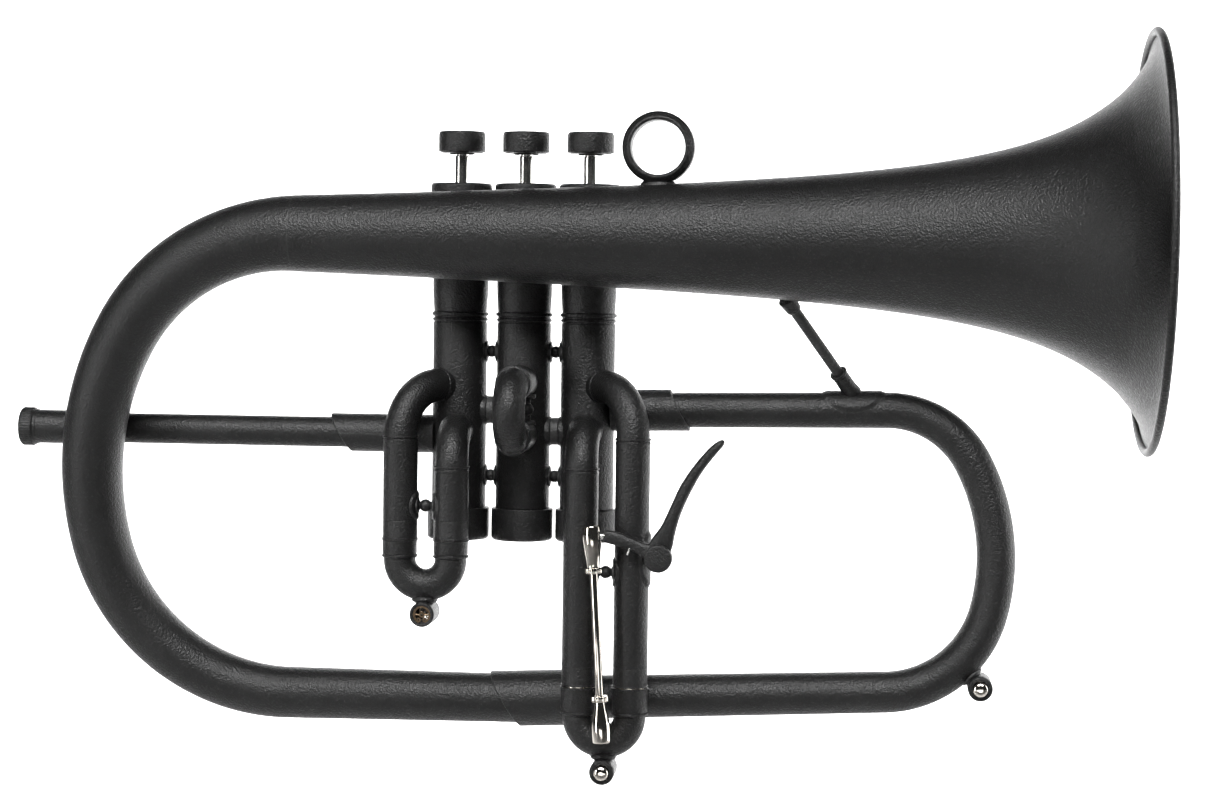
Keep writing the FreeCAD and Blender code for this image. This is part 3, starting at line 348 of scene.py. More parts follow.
def slanted_sleeve(point, heading, radius, thickness, square_x, top_x, bottom_x, sides=96):
    """Sleeve round a straight tube, with a square end and an end cut from top_x to bottom_x."""
    lip = 0.22
    section = [(radius - thickness, 0.0), (radius - lip, 0.0), (radius, lip), (radius, 1.0),
               (radius, 99.0), (radius, 100 - 1.0), (radius, 100 - lip), (radius - lip, 100.0),
               (radius - thickness, 100.0)]
    vertices = []
    side = heading.cross(Z).normalized()
    up = side.cross(heading).normalized()
    for r, share in section:
        for k in range(sides):
            a = 2 * math.pi * k / sides
            height = math.sin(a)
            cut_x = (top_x + bottom_x) / 2 + (top_x - bottom_x) / 2 * height
            reach = cut_x - square_x
            towards = math.copysign(1.0, reach)
            offset = share if share < 50 else abs(reach) - (100 - share)
            x = square_x + towards * offset
            centre = point + heading * ((x - point.x) / heading.x)
            vertices.append(centre + (side * math.cos(a) + up * height) * r)
    return vertices, skin(len(section), sides, True)


soldered("bow_ferrule",
         slanted_sleeve(front[-1][0], front[-1][1], BOW_FERRULE_R, 2.2, BOW_FERRULE_X[2],
                        *BOW_FERRULE_X[:2]))
soldered("front_ferrule",
         slanted_sleeve(front[0][0], front[0][1], FRONT_FERRULE_R, 1.3, VALVE_X[2] + INTO_CASING,
                        *FRONT_FERRULE_X))
soldered("leadpipe_sleeve",
         slanted_sleeve(Vector((0, 0, 0)), X, SLEEVE_R, 1.4, VALVE_X[0] - INTO_CASING, *SLEEVE_X))

# ---- Leadpipe and mouthpiece receiver -----------------------------------------------------------
# The leadpipe is a thin drawn tube that slides in its sleeve.  The receiver is soldered over its
# outer end and finishes in a finely ribbed collar with a rounded lip, for the mouthpiece.
LEADPIPE_R, RECEIVER_R, COLLAR_R, BORE_R = 5.7, 6.4, 7.35, 4.9
KNURLS, KNURL_DEPTH = 44, 0.14
leadpipe_low, leadpipe_high = span("leadpipe")
receiver_end = span("mouthpiece_receiver")[1].x
leadpipe_line = [(BORE_R, leadpipe_low.x), (LEADPIPE_R, leadpipe_low.x),
                 (LEADPIPE_R, leadpipe_high.x), (BORE_R, leadpipe_high.x)]
piece("leadpipe", [lathe(rounded(leadpipe_line, 0.1), (0, 0, 0), X)], coat,
      "leadpipe_assembly", "leadpipe")
receiver_line = [(BORE_R, 24.0), (BORE_R, 1.0), (BORE_R + 0.5, 0.0), (COLLAR_R - 0.5, 0.0),
                 (COLLAR_R, 0.6), (COLLAR_R, 4.7), (COLLAR_R - 0.5, 5.3), (RECEIVER_R + 0.25, 5.5),
                 (RECEIVER_R + 0.25, 6.2), (RECEIVER_R, 6.6), (RECEIVER_R, 18.0), (6.15, 19.0),
                 (6.15, receiver_end), (LEADPIPE_R, receiver_end), (LEADPIPE_R, 24.0)]
receiver_points, receiver_faces = lathe(rounded(receiver_line, 0.28), (0, 0, 0), X, True,
                                        KNURLS * 4)
for i, point in enumerate(receiver_points):
    reach = math.hypot(point.y, point.z)
    if reach > COLLAR_R - 0.12 and i % 4 < 2:
        point.y, point.z = (c * (1 - KNURL_DEPTH / reach) for c in (point.y, point.z))
piece("mouthpiece_receiver", [(receiver_points, receiver_faces)], coat, "leadpipe_assembly",
      "mouthpiece_receiver")

# ---- Valve casings and caps ---------------------------------------------------------------------
# Each casing is a straight lower tube and a slightly fuller upper one above a double bead.
# Turned caps are screwed on both ends; the bottom ones are deeper and have a vent hole.
CASING_R, UPPER_R, THREAD_R = 10.15, 10.45, 9.7
TOP_CAP_R, BOTTOM_CAP_R, STEM_R = 11.5, 11.65, 2.6
casing_low, casing_high = span("valve_casing_1")
cap_top = span("top_caps")[1].z
cap_bottom = span("bottom_caps")[0].z
casing_line = [(8.5, casing_low.z), (THREAD_R, casing_low.z), (THREAD_R, -27.4), (CASING_R, -27.2),
               (CASING_R, 0.0), (CASING_R, 42.2), (CASING_R - 0.25, 42.4), (CASING_R - 0.25, 42.9),
               (CASING_R + 0.3, 43.1), (CASING_R + 0.3, 43.8), (CASING_R - 0.2, 44.1),
               (CASING_R - 0.2, 44.8), (CASING_R + 0.55, 45.0), (CASING_R + 0.55, 46.1),
               (CASING_R - 0.2, 46.3), (CASING_R - 0.15, 47.2), (CASING_R, 49.5),
               (UPPER_R - 0.1, 52.5),
               (UPPER_R, 57.0), (UPPER_R, 83.0), (THREAD_R, 84.0), (THREAD_R, casing_high.z),
               (8.5, casing_high.z)]
top_line = [(STEM_R + 0.1, cap_top - 2.2), (THREAD_R, cap_top - 2.2), (THREAD_R, 84.0),
            (TOP_CAP_R - 0.3, 84.0), (TOP_CAP_R - 0.3, 85.2), (TOP_CAP_R, 85.6),
            (TOP_CAP_R, cap_top - 0.75), (TOP_CAP_R - 0.6, cap_top), (STEM_R + 1.1, cap_top),
            (STEM_R + 0.9, cap_top - 0.35), (STEM_R + 0.1, cap_top - 0.35)]
bottom_line = [(3.0, cap_bottom + 2.5), (THREAD_R, cap_bottom + 2.5), (THREAD_R, -27.3),
               (BOTTOM_CAP_R - 0.25, -27.3), (BOTTOM_CAP_R, -27.6), (BOTTOM_CAP_R, cap_bottom + 0.9),
               (BOTTOM_CAP_R - 0.9, cap_bottom), (8.6, cap_bottom), (8.2, cap_bottom + 0.5),
               (3.0, cap_bottom + 0.5)]
for number, valve_x in enumerate(VALVE_X, 1):
    soldered(f"valve_casing_{number}", lathe(rounded(casing_line, 0.22), (valve_x, 0, 0), Z))
soldered("top_caps", *(lathe(rounded(top_line, 0.22), (x, 0, 0), Z) for x in VALVE_X))
soldered("bottom_caps", *(lathe(rounded(bottom_line, 0.25), (x, 0, 0), Z) for x in VALVE_X))

# ---- Valve stems, buttons and felts -------------------------------------------------------------
# A bright steel stem runs down from each button through the top cap into the piston.  The
# button is a plain coated disc with a shallow finger dish; a black felt washer softens its stop.
BUTTON_R, LIP_R, DISH_R, FELT_R, FELT_THICK = 8.8, 7.9, 6.6, 4.6, 0.55
TOOL_MARK_DEPTH = 0.000004


def polished(name, colour, roughness, marks, along=(1, 1, 1)):
    """Bare or plated metal: fine tool marks drawn out along one axis, uneven polish, faint tarnish."""
    material, tree, shader, place = finish(name)
    drawn = add(tree, "ShaderNodeMapping", {"Vector": place, "Scale": along}).outputs["Vector"]
    lines = add(tree, "ShaderNodeTexNoise",
                {"Vector": drawn, "Scale": marks, "Detail": 5.0, "Roughness": 0.7})
    cloud = add(tree, "ShaderNodeTexNoise", {"Vector": place, "Scale": 160.0, "Detail": 3.0})
    tarnish = tuple(c * 0.78 for c in colour)
    tint = ramp(tree, cloud.outputs["Fac"], (0.35, tarnish), (0.62, colour))
    tree.links.new(tint, shader.inputs["Base Color"])
    worn = add(tree, "ShaderNodeMapRange",
               {"Value": lines.outputs["Fac"], "From Min": 0.3, "From Max": 0.7,
                "To Min": roughness * 0.7, "To Max": roughness * 1.5})
    tree.links.new(worn.outputs["Result"], shader.inputs["Roughness"])
    emboss(tree, shader, lines.outputs["Fac"], 0.5, TOOL_MARK_DEPTH)
    shader.inputs["Metallic"].default_value = 1.0
    return material


def felt(name):
    """Pressed wool felt: matte black fibres with a little sheen."""
    material, tree, shader, place = finish(name)
    fibre = add(tree, "ShaderNodeTexNoise",
                {"Vector": place, "Scale": 5200.0, "Detail": 6.0, "Distortion": 1.4})
    tone = ramp(tree, fibre.outputs["Fac"], (0.3, 0.006), (0.75, 0.03))
    tree.links.new(tone, shader.inputs["Base Color"])
    emboss(tree, shader, fibre.outputs["Fac"], 0.8, 0.0001)
    shader.inputs["Roughness"].default_value = 0.95
    shader.inputs["Sheen Weight"].default_value = 0.3
    return material


steel = polished("bright turned steel", (0.80, 0.79, 0.77), 0.16, 900.0, (1, 1, 9))
black_felt = felt("black felt")
stem_low = span("valve_stem_1")[0].z
button_low, button_high = span("finger_button_1")[0].z, span("finger_button_1")[1].z
stem_line = [(0, stem_low), (4.4, stem_low), (4.4, stem_low + 0.6), (3.0, stem_low + 0.6),
             (3.0, stem_low + 3.2), (STEM_R, stem_low + 3.6), (STEM_R, button_low - 1.3),
             (STEM_R - 0.35, button_low - 1.1), (STEM_R - 0.35, button_low - 0.7),
             (STEM_R, button_low - 0.5), (STEM_R, button_low), (1.9, button_low),
             (1.9, button_low + 4.9), (0, button_low + 4.9)]
button_line = [(1.9, button_low), (LIP_R, button_low), (LIP_R, button_low + 0.3),
               (BUTTON_R, button_low + 0.35), (BUTTON_R, button_high - 0.9),
               (BUTTON_R - 0.2, button_high - 0.75), (BUTTON_R - 0.2, button_high - 0.35),
               (BUTTON_R - 0.55, button_high), (DISH_R + 0.4, button_high),
               (DISH_R - 1.2, button_high - 0.3), (3.0, button_high - 0.55), (0, button_high - 0.6)]
felt_line = [(STEM_R + 0.05, button_low - FELT_THICK), (FELT_R, button_low - FELT_THICK),
             (FELT_R, button_low), (STEM_R + 0.05, button_low)]
for number, valve_x in enumerate(VALVE_X, 1):
    at = (valve_x, 0, 0)
    ride_on = f"valve_{number}"
    piece(f"valve_stem_{number}", [lathe(rounded(stem_line, 0.15, closed=False), at, Z, False, 64)],
          steel, ride_on, f"valve_stem_{number}")
    piece(f"finger_button_{number}",
          [lathe(rounded(button_line, 0.35, closed=False), at, Z, False)], coat, ride_on,
          f"finger_button_{number}")
    piece(f"button_felt_{number}", [lathe(rounded(felt_line, 0.12), at, Z)], black_felt, ride_on)


def moulded(name, colour):
    """White nylon with a faint flow pattern."""
    material, tree, shader, place = finish(name)
    flow = add(tree, "ShaderNodeTexNoise", {"Vector": place, "Scale": 300.0, "Distortion": 2.0})
    tone = ramp(tree, flow.outputs["Fac"], (0.3, tuple(c * 0.9 for c in colour)), (0.7, colour))
    tree.links.new(tone, shader.inputs["Base Color"])
    emboss(tree, shader, flow.outputs["Fac"], 0.2, 0.00002)
    shader.inputs["Roughness"].default_value = 0.5
    return material


def dress(node, material):
    """A CAD node keeps its shape and takes a finish."""
    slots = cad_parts[node].data.materials
    slots.clear()
    slots.append(material)


monel = polished("lapped monel", (0.66, 0.63, 0.58), 0.22, 700.0, (6, 6, 1))
spring_wire = polished("drawn spring wire", (0.52, 0.52, 0.53), 0.3, 1500.0)
nylon = moulded("moulded nylon", (0.82, 0.80, 0.74))
dress("valve_guides", nylon)
for number, valve_x in enumerate(VALVE_X, 1):
    dress(f"piston_{number}", monel)
    dress(f"piston_spring_{number}", spring_wire)
    foot = (valve_x * MM, 0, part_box("valve_guides")[1].z)
    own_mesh(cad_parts[f"piston_spring_{number}"])

# ---- Knuckles and ball braces -------------------------------------------------------------------
# Short crossing tubes join the casings.  Turned posts with a ball in the middle are soldered
# between casings and between slide legs, each on a pair of thin oval pads.
KNUCKLE_R = 5.2
KNUCKLE_Z = (9.5, 1.8)
POST_R = 1.45
BRACE_Z = (31.6, -15.2)
LEG_R = 6.4


def fillet_post(length, ball_r, foot_r):
    """Outline of a brace: a flanged foot, a neck, a ball, and the same again the other way."""
    middle = length / 2
    half = [(0, -0.8), (foot_r, -0.8), (foot_r, 0.35), (foot_r - 0.35, 0.6),
            (POST_R + 0.65, 0.75), (POST_R + 0.15, 1.0)]
    neck = math.sqrt(ball_r ** 2 - POST_R ** 2)
    half.append((POST_R, max(1.05, middle - neck - 0.15)))
    low_angle = math.acos(POST_R / ball_r)
    arc = [(ball_r * math.cos(a), middle + ball_r * math.sin(a))
           for a in (low_angle * (k / 10 - 1) for k in range(21))]
    return half + arc + [(r, length - h) for r, h in reversed(half)]


def oval_pad(centre, along, outward, radius, half_length, half_width, thick, rings=8, sides=48):
    """Thin oval plate wrapped on a round tube, with a soft edge; centre is on the tube's axis."""
    across = along.cross(outward)
    vertices = []
    skirt = [(1.0, -0.5)] + [(1 - 0.16 * math.sin(a), math.sin(a))
                             for a in (math.pi / 2 * k / 4 for k in range(5))]
    skirt += [(0.84 * (1 - k / rings), 1.0) for k in range(1, rings + 1)]
    for reach, lift in skirt:
        for k in range(sides):
            a = 2 * math.pi * k / sides
            angle = half_width * reach * math.sin(a) / radius
            r = radius + thick * lift
            vertices.append(centre + along * (half_length * reach * math.cos(a))
                            + (outward * math.cos(angle) + across * math.sin(angle)) * r)
    return vertices, skin(len(skirt), sides, False) + [tuple(range(sides))]


def brace(a, b, ball_r, foot_r, pads):
    """Parts of a ball brace from tube to tube; pads is (tube direction, radius, length, width)."""
    along = (b - a).normalized()
    tube_along, radius, half_length, half_width = pads
    start, end = a + along * radius, b - along * radius
    line = fillet_post((end - start).length, ball_r, foot_r)
    return [lathe(line, start, along, False, 48),
            oval_pad(a, tube_along, along, radius, half_length, half_width, 0.6),
            oval_pad(b, tube_along, -along, radius, half_length, half_width, 0.6)]


knuckle_line = [(4.6, 0), (KNUCKLE_R, 0), (KNUCKLE_R, 1), (4.6, 1)]
parts = []
for left, height in enumerate(KNUCKLE_Z):
    start = VALVE_X[left] + CASING_R - 0.6
    reach = VALVE_X[left + 1] - CASING_R + 0.6 - start
    line = [(r, h * reach) for r, h in knuckle_line]
    parts.append(lathe(line, (start, 0, height), X))
    for side, x in ((1, VALVE_X[left]), (-1, VALVE_X[left + 1])):
        collar = [(KNUCKLE_R - 0.2, CASING_R - 1.6), (KNUCKLE_R + 0.5, CASING_R - 1.6),
                  (KNUCKLE_R + 0.35, CASING_R + 0.35), (KNUCKLE_R - 0.2, CASING_R + 0.9)]
        parts.append(lathe(rounded(collar, 0.2), (x, 0, height), X * side))
soldered("valve_knuckles", *parts)

FIRST_X, THIRD_X = (151.2, 170.3), (218.5, 237.5)
SLIDE_Y = -23.0
parts = []
for left in (0, 1):
    for height in BRACE_Z:
        parts += brace(Vector((VALVE_X[left], 0, height)), Vector((VALVE_X[left + 1], 0, height)),
                       2.3, 3.5, (Z, CASING_R, 4.2, 4.2))
for legs, height in ((FIRST_X, -25.3), (THIRD_X, -48.4)):
    parts += brace(Vector((legs[0], SLIDE_Y, height)), Vector((legs[1], SLIDE_Y, height)),
                   2.4, 3.2, (Z, LEG_R, 5.6, 5.6))
soldered("ball_braces", *parts)

# ---- First valve slide --------------------------------------------------------------------------
# Two elbows leave the first casing and turn down into the outer legs.  The crook, a U of the
# same tube with a ferrule on each end, pulls down out of them on lapped nickel silver legs.
ELBOW_R, CROOK_R, TUBE_WALL = 6.15, 5.95, 0.6
INNER_R = 5.75
FIRST_PORTS, FIRST_BENDS = (18.9, 2.2), (18.5, 12.8)
nickel_silver = polished("lapped nickel silver", (0.76, 0.72, 0.64), 0.14, 600.0, (8, 8, 1))


def elbow(valve_x, leg_x, port_z, bend):
    """Quarter bend from a casing's axis height down into a vertical leg."""
    level = Vector((leg_x - valve_x, SLIDE_Y, 0))
    reach = level.length
    level.normalize()
    side = level.cross(Z)
    turn = Vector((valve_x, 0, port_z)) + level * (reach - bend)
    start = Vector((valve_x, 0, port_z)) + level * (CASING_R - 2.4)
    stations = [(start.lerp(turn, k / 4), level, ELBOW_R) for k in range(4)]
    for k in range(37):
        a = math.pi / 2 * k / 36
        centre = turn + level * bend * math.sin(a) - Z * bend * (1 - math.cos(a))
        heading = level * math.cos(a) - Z * math.sin(a)
        stations.append((centre, heading, ELBOW_R))
    return sweep(stations, side, TUBE_WALL)


def socket(valve_x, leg_x, port_z):
    """Soft solder line round an elbow where it enters the casing."""
    level = Vector((leg_x - valve_x, SLIDE_Y, 0)).normalized()
    line = [(ELBOW_R - 0.3, CASING_R - 2.2), (ELBOW_R + 0.32, CASING_R - 2.2),
            (ELBOW_R + 0.22, CASING_R + 0.25), (ELBOW_R - 0.3, CASING_R + 0.7)]
    return lathe(rounded(line, 0.2), (valve_x, 0, port_z), level)


def leg_line(length):
    """Outer leg with the narrow bead where it takes the elbow and a fine line near its end."""
    return rounded([(LEG_R - TUBE_WALL, -0.1), (LEG_R + 0.3, -0.1), (LEG_R + 0.3, 0.5),
                    (LEG_R - 0.12, 0.7), (LEG_R - 0.12, 1.1), (LEG_R + 0.12, 1.3),
                    (LEG_R + 0.12, 1.9), (LEG_R, 2.1), (LEG_R, length - 7.2),
                    (LEG_R - 0.1, length - 7.1), (LEG_R - 0.1, length - 6.8),
                    (LEG_R, length - 6.7), (LEG_R, length - 0.5), (LEG_R + 0.3, length - 0.45),
                    (LEG_R + 0.3, length), (LEG_R - TUBE_WALL, length)], 0.1)


def u_bend(middle, half, across, outward, lap):
    """Stations of a half turn from one leg across to the other, lapping into both legs."""
    stations = [(middle - across * half - outward * lap, outward, CROOK_R)]
    for k in range(73):
        a = math.pi * k / 72
        centre = middle - across * half * math.cos(a) + outward * half * math.sin(a)
        stations.append((centre, across * math.sin(a) + outward * math.cos(a), CROOK_R))
    return stations + [(middle + across * half - outward * lap, -outward, CROOK_R)]


def crook(legs_x, ring_z, ferrule_z, ferrule_r):
    """Parts of a hanging U bend with beaded ferrules."""
    half = (legs_x[1] - legs_x[0]) / 2
    middle = Vector(((legs_x[0] + legs_x[1]) / 2, SLIDE_Y, ferrule_z - 0.6))
    line = rounded([(INNER_R, ring_z), (ferrule_r + 0.3, ring_z), (ferrule_r + 0.3, ring_z - 0.5),
                    (ferrule_r, ring_z - 0.6), (ferrule_r, ferrule_z + 1.6),
                    (ferrule_r - 0.15, ferrule_z + 1.5), (ferrule_r - 0.15, ferrule_z + 1.2),
                    (ferrule_r + 0.3, ferrule_z + 1.0), (ferrule_r + 0.3, ferrule_z + 0.3),
                    (CROOK_R - 0.1, ferrule_z - 0.1), (INNER_R, ferrule_z)], 0.1)
    bend = sweep(u_bend(middle, half, X, -Z, 1.1), Y, TUBE_WALL)
    return [bend] + [lathe(line, (x, SLIDE_Y, 0), Z) for x in legs_x]


def inner_legs(order, feet, axis):
    """Lapped tubes, soldered in the crook, that run along the axis inside the outer legs."""
    name = f"{order}_slide_inner_legs"
    low, high = (corner.dot(axis) for corner in span(name))
    line = [(INNER_R - 0.45, low), (INNER_R, low), (INNER_R, high), (INNER_R - 0.45, high)]
    piece(name, [lathe(rounded(line, 0.1), foot, axis) for foot in feet], nickel_silver,
          f"{order}_slide", name)


def slide(order, valve_x, legs_x, ports, bends, ferrule_r):
    """Elbows, outer legs, crook and inner legs of a hanging slide."""
    soldered(f"{order}_elbows", *(elbow(valve_x, *port) for port in zip(legs_x, ports, bends)),
             *(socket(valve_x, *port) for port in zip(legs_x, ports)))
    bottom = span(f"{order}_outer_legs")[0].z
    soldered(f"{order}_outer_legs",
             *(lathe(leg_line(z - bend - bottom), (x, SLIDE_Y, z - bend), -Z)
               for x, z, bend in zip(legs_x, ports, bends)))
    low, high = span(f"{order}_slide_crook")
    half = (legs_x[1] - legs_x[0]) / 2
    ferrule_z = low.z + CROOK_R + half + 0.6
    piece(f"{order}_slide_crook", crook(legs_x, high.z, ferrule_z, ferrule_r), coat,
          f"{order}_slide", f"{order}_slide_crook")
    inner_legs(order, [(x, SLIDE_Y, 0) for x in legs_x], Z)


slide("first", VALVE_X[0], FIRST_X, FIRST_PORTS, FIRST_BENDS, LEG_R)

# ---- Second valve slide -------------------------------------------------------------------------
# The shortest slide stands straight out of the middle casing towards the player's left: two
# stub legs, braced by a ball post, and a small crook that pulls forward.
SECOND_PORTS = (20.5, 0.7)
SECOND_BRACE = Vector((VALVE_X[1] + 3.4, -16.5, 0))
legs_low = span("second_outer_legs")[0]
crook_low, crook_high = span("second_slide_crook")
stub = rounded([(LEG_R - TUBE_WALL, 0), (LEG_R + 0.12, 0), (LEG_R + 0.15, 0.9), (LEG_R, 1.1),
                (LEG_R, 19.6), (LEG_R + 0.3, 20.4), (LEG_R - TUBE_WALL, 21.0)], 0.12)
soldered("second_outer_legs",
         *(lathe(stub, (VALVE_X[1], legs_low.y, z), Y) for z in SECOND_PORTS))
half = (SECOND_PORTS[0] - SECOND_PORTS[1]) / 2
centre = Vector((VALVE_X[1], crook_low.y + CROOK_R + half, SECOND_PORTS[1] + half))
ferrule = rounded([(INNER_R, crook_high.y), (LEG_R, crook_high.y), (LEG_R, centre.y + 1.0),
                   (LEG_R + 0.2, centre.y + 0.8), (LEG_R + 0.2, centre.y + 0.1),
                   (CROOK_R - 0.1, centre.y - 0.3), (INNER_R, centre.y)], 0.12)
parts = [sweep(u_bend(centre, half, -Z, -Y, 0.8), X, TUBE_WALL)]
parts += [lathe(ferrule, (VALVE_X[1], 0, z), Y) for z in SECOND_PORTS]
piece("second_slide_crook", parts, coat, "second_slide", "second_slide_crook")
inner_legs("second", [(VALVE_X[1], 0, z) for z in SECOND_PORTS], Y)
foot = SECOND_BRACE + Z * (SECOND_PORTS[1] + LEG_R - 1.3)
reach = SECOND_PORTS[0] - SECOND_PORTS[1] - 2 * (LEG_R - 1.3)
piece("second_slide_brace", [lathe(fillet_post(reach, 2.6, 3.4), foot, Z, False, 48)], coat, "horn")

# ---- Third valve slide --------------------------------------------------------------------------
# The long slide hangs to the bottom of the horn.  A bright band of the inner legs shows where
# its crook meets the outer legs, because the trigger keeps it a little open.
THIRD_PORTS, THIRD_BENDS = (2.5, 19.1), (12.8, 18.2)
THIRD_FERRULE_R = 6.55
slide("third", VALVE_X[2], THIRD_X, THIRD_PORTS, THIRD_BENDS, THIRD_FERRULE_R)

# ---- Water keys ---------------------------------------------------------------------------------
# Three small barrels are soldered across the lowest bends.  Pushing a plated plunger through
# the barrel opens a drain; a bronze spring clip with two ears keeps the plunger in.
KEY_R, NIPPLE_R = 4.6, 2.65
KEY_BORE = 3.3
nickel = polished("polished nickel plate", (0.83, 0.78, 0.71), 0.07, 420.0, (1, 1, 3))
bronze = polished("dull phosphor bronze", (0.27, 0.19, 0.12), 0.30, 1100.0)


def arc_ring(inner, outer, low, high, start, end, centre, axis, up, steps=60):
    """Flat open ring between two angles, square in section."""
    side = axis.cross(up)
    vertices, faces = [], []
    for k in range(steps + 1):
        a = math.radians(start + (end - start) * k / steps)
        spoke = up * math.cos(a) + side * math.sin(a)
        for r, h in ((inner, low), (outer, low), (outer, high), (inner, high)):
            vertices.append(centre + spoke * r + axis * h)
    for k in range(steps):
        for j in range(4):
            n = (j + 1) % 4
            faces.append((4 * k + j, 4 * k + n, 4 * k + 4 + n, 4 * k + 4 + j))
    faces += [(0, 1, 2, 3), (4 * steps + 3, 4 * steps + 2, 4 * steps + 1, 4 * steps)]
    return vertices, faces


def water_key(order, button_y, tube_point, tube_r, along, body, button_body):
    """Barrel, plunger and clip; button_y is the side the plunger's button stands on."""
    low, high = span(f"{order}_water_key_body")
    plunger_low, plunger_high = span(f"{order}_water_key_plunger")
    clip_low, clip_high = span(f"{order}_water_key_clip")
    clip_r = (clip_high.x - clip_low.x) / 2
    centre = Vector(((clip_low.x + clip_high.x) / 2, (low.y + high.y) / 2,
                     (clip_low.z + clip_high.z) / 2))
    centre.z = (plunger_low.z + plunger_high.z) / 2
    centre.x = (plunger_low.x + plunger_high.x) / 2
    half = (high.y - low.y) / 2
    axis = Y * button_y
    outward = (centre - tube_point).normalized()
    line = [(KEY_BORE, -half + 0.2), (KEY_R - 0.5, -half), (KEY_R, -half + 0.5),
            (KEY_R, half - 1.9), (KEY_R - 0.18, half - 1.7), (KEY_R - 0.18, half - 1.4),
            (KEY_R, half - 1.2), (KEY_R, half - 0.5), (KEY_R - 0.5, half),
            (NIPPLE_R + 0.25, half), (NIPPLE_R + 0.25, half - 1.0), (KEY_BORE, half - 1.0)]
    reach = (centre - tube_point).length
    neck = [(0, 0), (5.0, tube_r - 1.0), (4.7, tube_r + 0.15), (3.7, tube_r + 0.5),
            (3.3, tube_r + 1.0), (3.5, reach - KEY_R + 1.4), (0, reach - KEY_BORE)]
    drain = lathe(rounded([(0.5, KEY_R - 0.6), (1.6, KEY_R - 0.6), (1.5, KEY_R + 0.12),
                           (0.9, KEY_R + 0.14), (0.9, KEY_R - 0.3), (0.5, KEY_R - 0.3)], 0.08),
                  centre, outward, True, 32)
    piece(f"{order}_water_key_body",
          [lathe(rounded(line, 0.18), centre, axis, True, 72),
           lathe(rounded(neck, 0.5, closed=False), tube_point, outward, False, 48), drain],
          coat, body, f"{order}_water_key_body")
    tip = max(abs(plunger_high.y - centre.y), abs(plunger_low.y - centre.y))
    button = [(0, -half + 5.2), (KEY_BORE - 0.06, -half + 5.2), (KEY_BORE - 0.06, half - 1.1),
              (NIPPLE_R, half - 1.0), (NIPPLE_R, tip - 1.1), (NIPPLE_R - 0.25, tip - 0.55),
              (NIPPLE_R - 0.9, tip - 0.2), (NIPPLE_R - 1.7, tip - 0.07), (0, tip - 0.04)]
    piece(f"{order}_water_key_plunger", [lathe(rounded(button, 0.2, closed=False), centre, axis,
                                               False, 64)],
          nickel, button_body, f"{order}_water_key_plunger")
    face = -half + 0.7
    ring = arc_ring(2.55, clip_r - 0.02, face, face + 0.5, 22, 338, centre, axis, -Z)
    hub = lathe([(0.45, face - 0.05), (1.05, face - 0.05), (1.05, face + 0.5), (0.45, face + 0.5)],
                centre, axis, True, 32)
    parts = [ring, hub]
    for turn in (-1, 1):
        ear = centre - Z * 1.95 + X * 1.15 * turn
        parts.append(lathe([(0.3, face - 0.05), (0.85, face - 0.05), (0.85, face + 0.5),
                            (0.3, face + 0.5)], ear, axis, True, 24))
        arm = centre + X * 1.7 * turn
        parts.append(lathe([(0, -0.85), (0.32, -0.8), (0.32, 0.8), (0, 0.85)],
                           arm + axis * (face + 0.2), X, False, 12))
    piece(f"{order}_water_key_clip", parts, bronze, body, f"{order}_water_key_clip")


for order, legs, body in (("first", FIRST_X, "first_slide"), ("third", THIRD_X, "third_slide")):
    bottom = span(f"{order}_slide_crook")[0].z
    middle = Vector(((legs[0] + legs[1]) / 2, SLIDE_Y, bottom + CROOK_R))
    water_key(order, 1 if order == "first" else -1, middle, CROOK_R, X, body,
              f"{order}_key_button")
plunger_low, plunger_high = span("main_water_key_plunger")
key_at = Vector(((plunger_low.x + plunger_high.x) / 2, 0, (plunger_low.z + plunger_high.z) / 2))
nearest = min(front, key=lambda s: (Vector((s[0].x, 0, s[0].z)) - key_at).length)
water_key("main", -1, nearest[0], nearest[2], nearest[1], "horn", "main_key_button")

# ---- Trigger saddle, lever and spring -----------------------------------------------------------
# A curved plate with a lug is soldered on the third slide's front leg.  The cast lever turns on
# a shouldered screw in that lug: one arm drives the link, the other is the finger paddle.
SCREW_R, HUB_R = 1.6, 5.1
screw_low, screw_high = span("trigger_pivot_screw")
PIVOT = Vector(((screw_low.x + screw_high.x) / 2, -34.0, (screw_low.z + screw_high.z) / 2))
LEVER_ARM, LEVER_TILT = 25.6, math.radians(17.6)
lever_ball = PIVOT + Vector((-LEVER_ARM * math.cos(LEVER_TILT), 0,
                             LEVER_ARM * math.sin(LEVER_TILT)))


def smooth_line(points, steps=8):
    """Rows of numbers drawn through the given rows without corners."""
    rows = [tuple(points[0])]
    for i in range(len(points) - 1):
        a = points[max(i - 1, 0)]
        b, c = points[i], points[i + 1]
        d = points[min(i + 2, len(points) - 1)]
        for k in range(1, steps + 1):
            t = k / steps
            rows.append(tuple(0.5 * (2 * q + (r - p) * t + (2 * p - 5 * q + 4 * r - s) * t * t
                                     + (3 * q - p - 3 * r + s) * t ** 3)
                              for p, q, r, s in zip(a, b, c, d)))
    return rows


